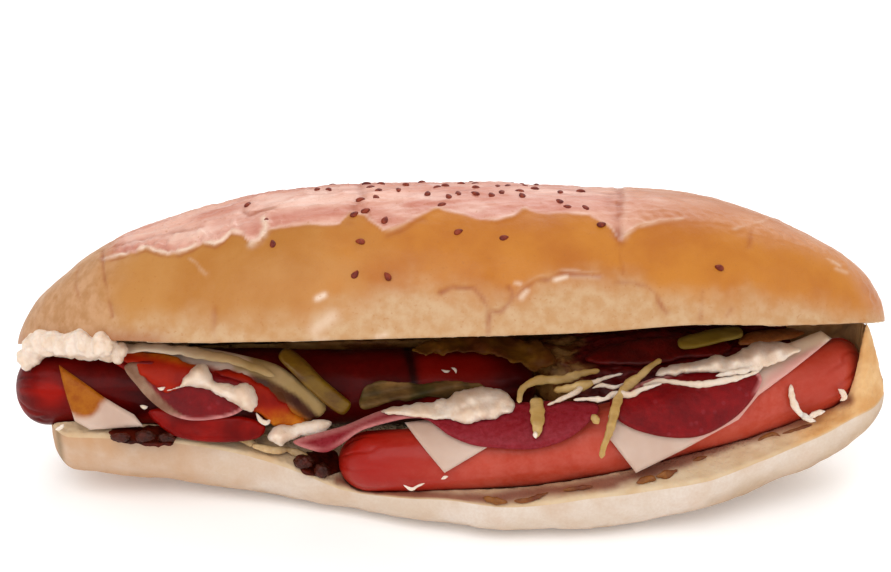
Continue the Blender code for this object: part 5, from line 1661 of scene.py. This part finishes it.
def makeSauce():
    material = wetMaterial("sauce", sauceLook, Roughness=0.45, Coat_Weight=0.04, Coat_Roughness=0.1,
                           Specular_IOR_Level=0.08, Subsurface_Radius=(1.0, 0.25, 0.1))
    film = dict(coarse=3.0, spacing=0.8, tear=1.2, tearSize=4.0, rim=1.4, underRim=0.0)
    makeSheet(
        "sauceUpper", [], material, "tomato",
        seen([(116, 351), (135, 350), (160, 355), (185, 362), (204, 369), (198, 378), (184, 386), (170, 393),
              (157, 387), (145, 375), (132, 364), (120, 357)]),
        leftRun.place, lift=3.9, thickness=0.6, wave=0.5, seed=21.0,
        masks={"orange": lambda x, rise, depth: smoothstep(rise + 0.2 * x, 18.5, 23.5), "brown": zero}, **film,
    )
    makeSheet(
        "sauceRight", [], material, "tomato",
        seen([(214, 372), (240, 374), (262, 384), (280, 400), (296, 414), (310, 426), (296, 430), (272, 424),
              (256, 412), (246, 398), (230, 384)]),
        leftRun.place, lift=1.6, thickness=0.9, wave=0.4, seed=22.0,
        masks={"orange": lambda x, rise, depth: 1 - smoothstep(rise, 17, 24), "brown": zero}, **film,
    )
    glaze = {"orange": zero, "brown": level(1.0)}
    makeSheet(
        # brown glaze round the left bits, partly painted shade in the gap between the cheese and the bread
        "glazeAndShadeLeft", [], material, "bit",
        seen([(108, 434), (122, 430), (145, 430), (165, 432), (176, 438), (168, 446), (152, 449), (140, 444),
              (130, 446), (118, 441)]),
        breadPlace, lift=0.0, thickness=0.8, wave=0.4, seed=23.0, masks=glaze, **film,
    )
    makeSheet(
        "glazeMiddle", [], material, "bit",
        seen([(292, 462), (304, 455), (322, 452), (338, 456), (343, 466), (338, 476), (324, 478), (308, 474)]),
        breadPlace, lift=0.0, thickness=0.9, wave=0.4, seed=24.0, masks=glaze, **film,
    )


def layThreads(name, threads, place, material):
    # threads: picture places, width, height and lift of each
    grids = [strandGrid(seen(path), place, lift, width, height, ends=(0.5, 0.45), wobble=0.5, seed=index)
             for index, (path, width, height, lift) in enumerate(threads)]
    newPiece(name, joined(name, grids), material)


def makeThreads():
    layThreads("creamThreadsAndGlints", [
        ([(789, 386), (790, 398), (794, 409), (801, 417), (808, 419)], 2.2, 1.6, -0.2),
        ([(797, 414), (808, 421), (815, 423)], 1.8, 1.3, -0.2),
        ([(806, 420), (816, 415), (825, 413)], 1.7, 1.2, -0.2),
        ([(838, 391), (843, 395), (844, 400), (840, 403)], 2.0, 1.3, -0.2),
        ([(545, 405), (562, 398), (575, 392), (582, 385), (593, 383), (604, 379), (621, 375)], 1.7, 1.2, 4.3),
        ([(571, 400), (584, 399), (601, 399), (612, 394), (627, 395), (638, 390), (659, 384)], 1.9, 1.3, 4.0),
        ([(590, 389), (600, 386), (612, 388), (622, 384)], 1.5, 1.1, 4.1),
        ([(640, 386), (655, 382), (663, 382), (680, 384), (698, 385), (724, 381), (742, 377), (757, 372)],
         2.1, 1.3, 3.6),
        ([(712, 377), (728, 374), (742, 372), (752, 369)], 1.8, 1.2, 4.2),
        # painted highlights: pale ticks on the right sausage, made as cream threads
        ([(404, 483), (412, 487), (418, 484), (425, 481)], 1.1, 0.7, -0.3),
        ([(441, 477), (445, 475), (448, 474)], 1.0, 0.6, -0.3),
        ([(532, 429), (533, 436)], 1.6, 1.2, 5.6),
    ], rightRun.place, creamMaterial)
    layThreads("creamHookAndGlints", [
        ([(257, 414), (262, 422), (268, 424), (272, 419)], 1.6, 1.3, 1.4),
        # painted highlights on the rear stretch of the left sausage, made as cream threads
        ([(441, 372), (446, 374), (450, 373)], 0.7, 0.5, -0.2),
        ([(451, 370), (455, 372), (456, 376)], 0.7, 0.5, -0.2),
        ([(160, 389), (164, 390), (168, 388)], 1.0, 0.8, 4.4),
        ([(141, 407), (146, 409), (149, 408)], 1.2, 0.8, 0.4),
        ([(55, 432), (60, 430), (64, 426)], 1.6, 1.1, -0.2),
    ], leftRun.place, creamMaterial)
    # brown crumbs along the sausages' lower edges, and dark brown strands that stand for the painted shade line
    # under the right sausage
    crumbTan = wetMaterial("crumbTan", meatLook("#74401E", "#96602E", "#562A12"), Subsurface_Weight=0.0)
    layThreads("crumbsAndShadeLine", [
        ([(482, 495), (494, 498), (506, 499)], 2.2, 1.2, 0.0),
        ([(512, 498), (526, 497), (546, 490)], 1.8, 1.1, 0.0),
        ([(560, 488), (575, 486), (590, 484)], 1.4, 0.9, 0.0),
        ([(632, 481), (645, 477), (652, 478)], 2.0, 1.3, 0.0),
        ([(652, 475), (664, 473), (674, 469)], 2.2, 1.2, 0.0),
        # dark strands laid where the shade under the right sausage falls: painted shade
        ([(757, 443), (772, 437), (780, 438)], 1.8, 1.0, 0.0),
        ([(782, 436), (800, 431), (813, 427)], 1.5, 1.0, 0.0),
        ([(690, 461), (705, 457)], 1.3, 0.9, 0.0),
        ([(342, 470), (346, 478), (352, 484)], 1.6, 1.0, 0.0),
    ], breadPlace, crumbTan)


makeGreens()
makeShreds()
makeHeap()
makeInner()
makeBits()
makeOnion()
makeSauce()
makeThreads()
print("salad and trim made")


# Floor and light

studio = dict(floorReach=4.0, floorGlow=0.14, worldLight=0.74)
# place, size and power of each lamp
lamps = {
    "key": ((-0.35, -0.75, 0.95), 1.1, 7.4),
    "back": ((0.25, 0.75, 0.8), 0.9, 4.6),
    "fill": ((0.9, -0.5, 0.4), 0.8, 1.6),
}


def makeStage():
    floorMesh = bpy.data.meshes.new("floor")
    reach = studio["floorReach"]
    corners = [(-reach, -reach, 0), (reach, -reach, 0), (reach, reach, 0), (-reach, reach, 0)]
    floorMesh.from_pydata(corners, [], [(0, 1, 2, 3)])
    floor = bpy.data.objects.new("floor", floorMesh)
    bpy.context.scene.collection.objects.link(floor)
    plain = bpy.data.materials.new("floor")
    plain.use_nodes = True
    shader = plain.node_tree.nodes["Principled BSDF"]
    shader.inputs["Base Color"].default_value = (0.97, 0.965, 0.96, 1.0)
    shader.inputs["Roughness"].default_value = 0.9
    shader.inputs["Specular IOR Level"].default_value = 0.1
    shader.inputs["Emission Color"].default_value = (1.0, 1.0, 1.0, 1.0)
    shader.inputs["Emission Strength"].default_value = studio["floorGlow"]
    floorMesh.materials.append(plain)
    world = bpy.data.worlds.new("studio")
    bpy.context.scene.world = world
    world.use_nodes = True
    world.node_tree.nodes["Background"].inputs["Color"].default_value = (1, 1, 1, 1)
    world.node_tree.nodes["Background"].inputs["Strength"].default_value = studio["worldLight"]
    for name, (place, size, power) in lamps.items():
        light = bpy.data.objects.new(name, bpy.data.lights.new(name, "AREA"))
        bpy.context.scene.collection.objects.link(light)
        light.data.size = size
        light.data.energy = power
        light.location = place
        light.rotation_euler = (aim - Vector(place)).to_track_quat("-Z", "Y").to_euler()


makeStage()
bpy.context.view_layer.update()
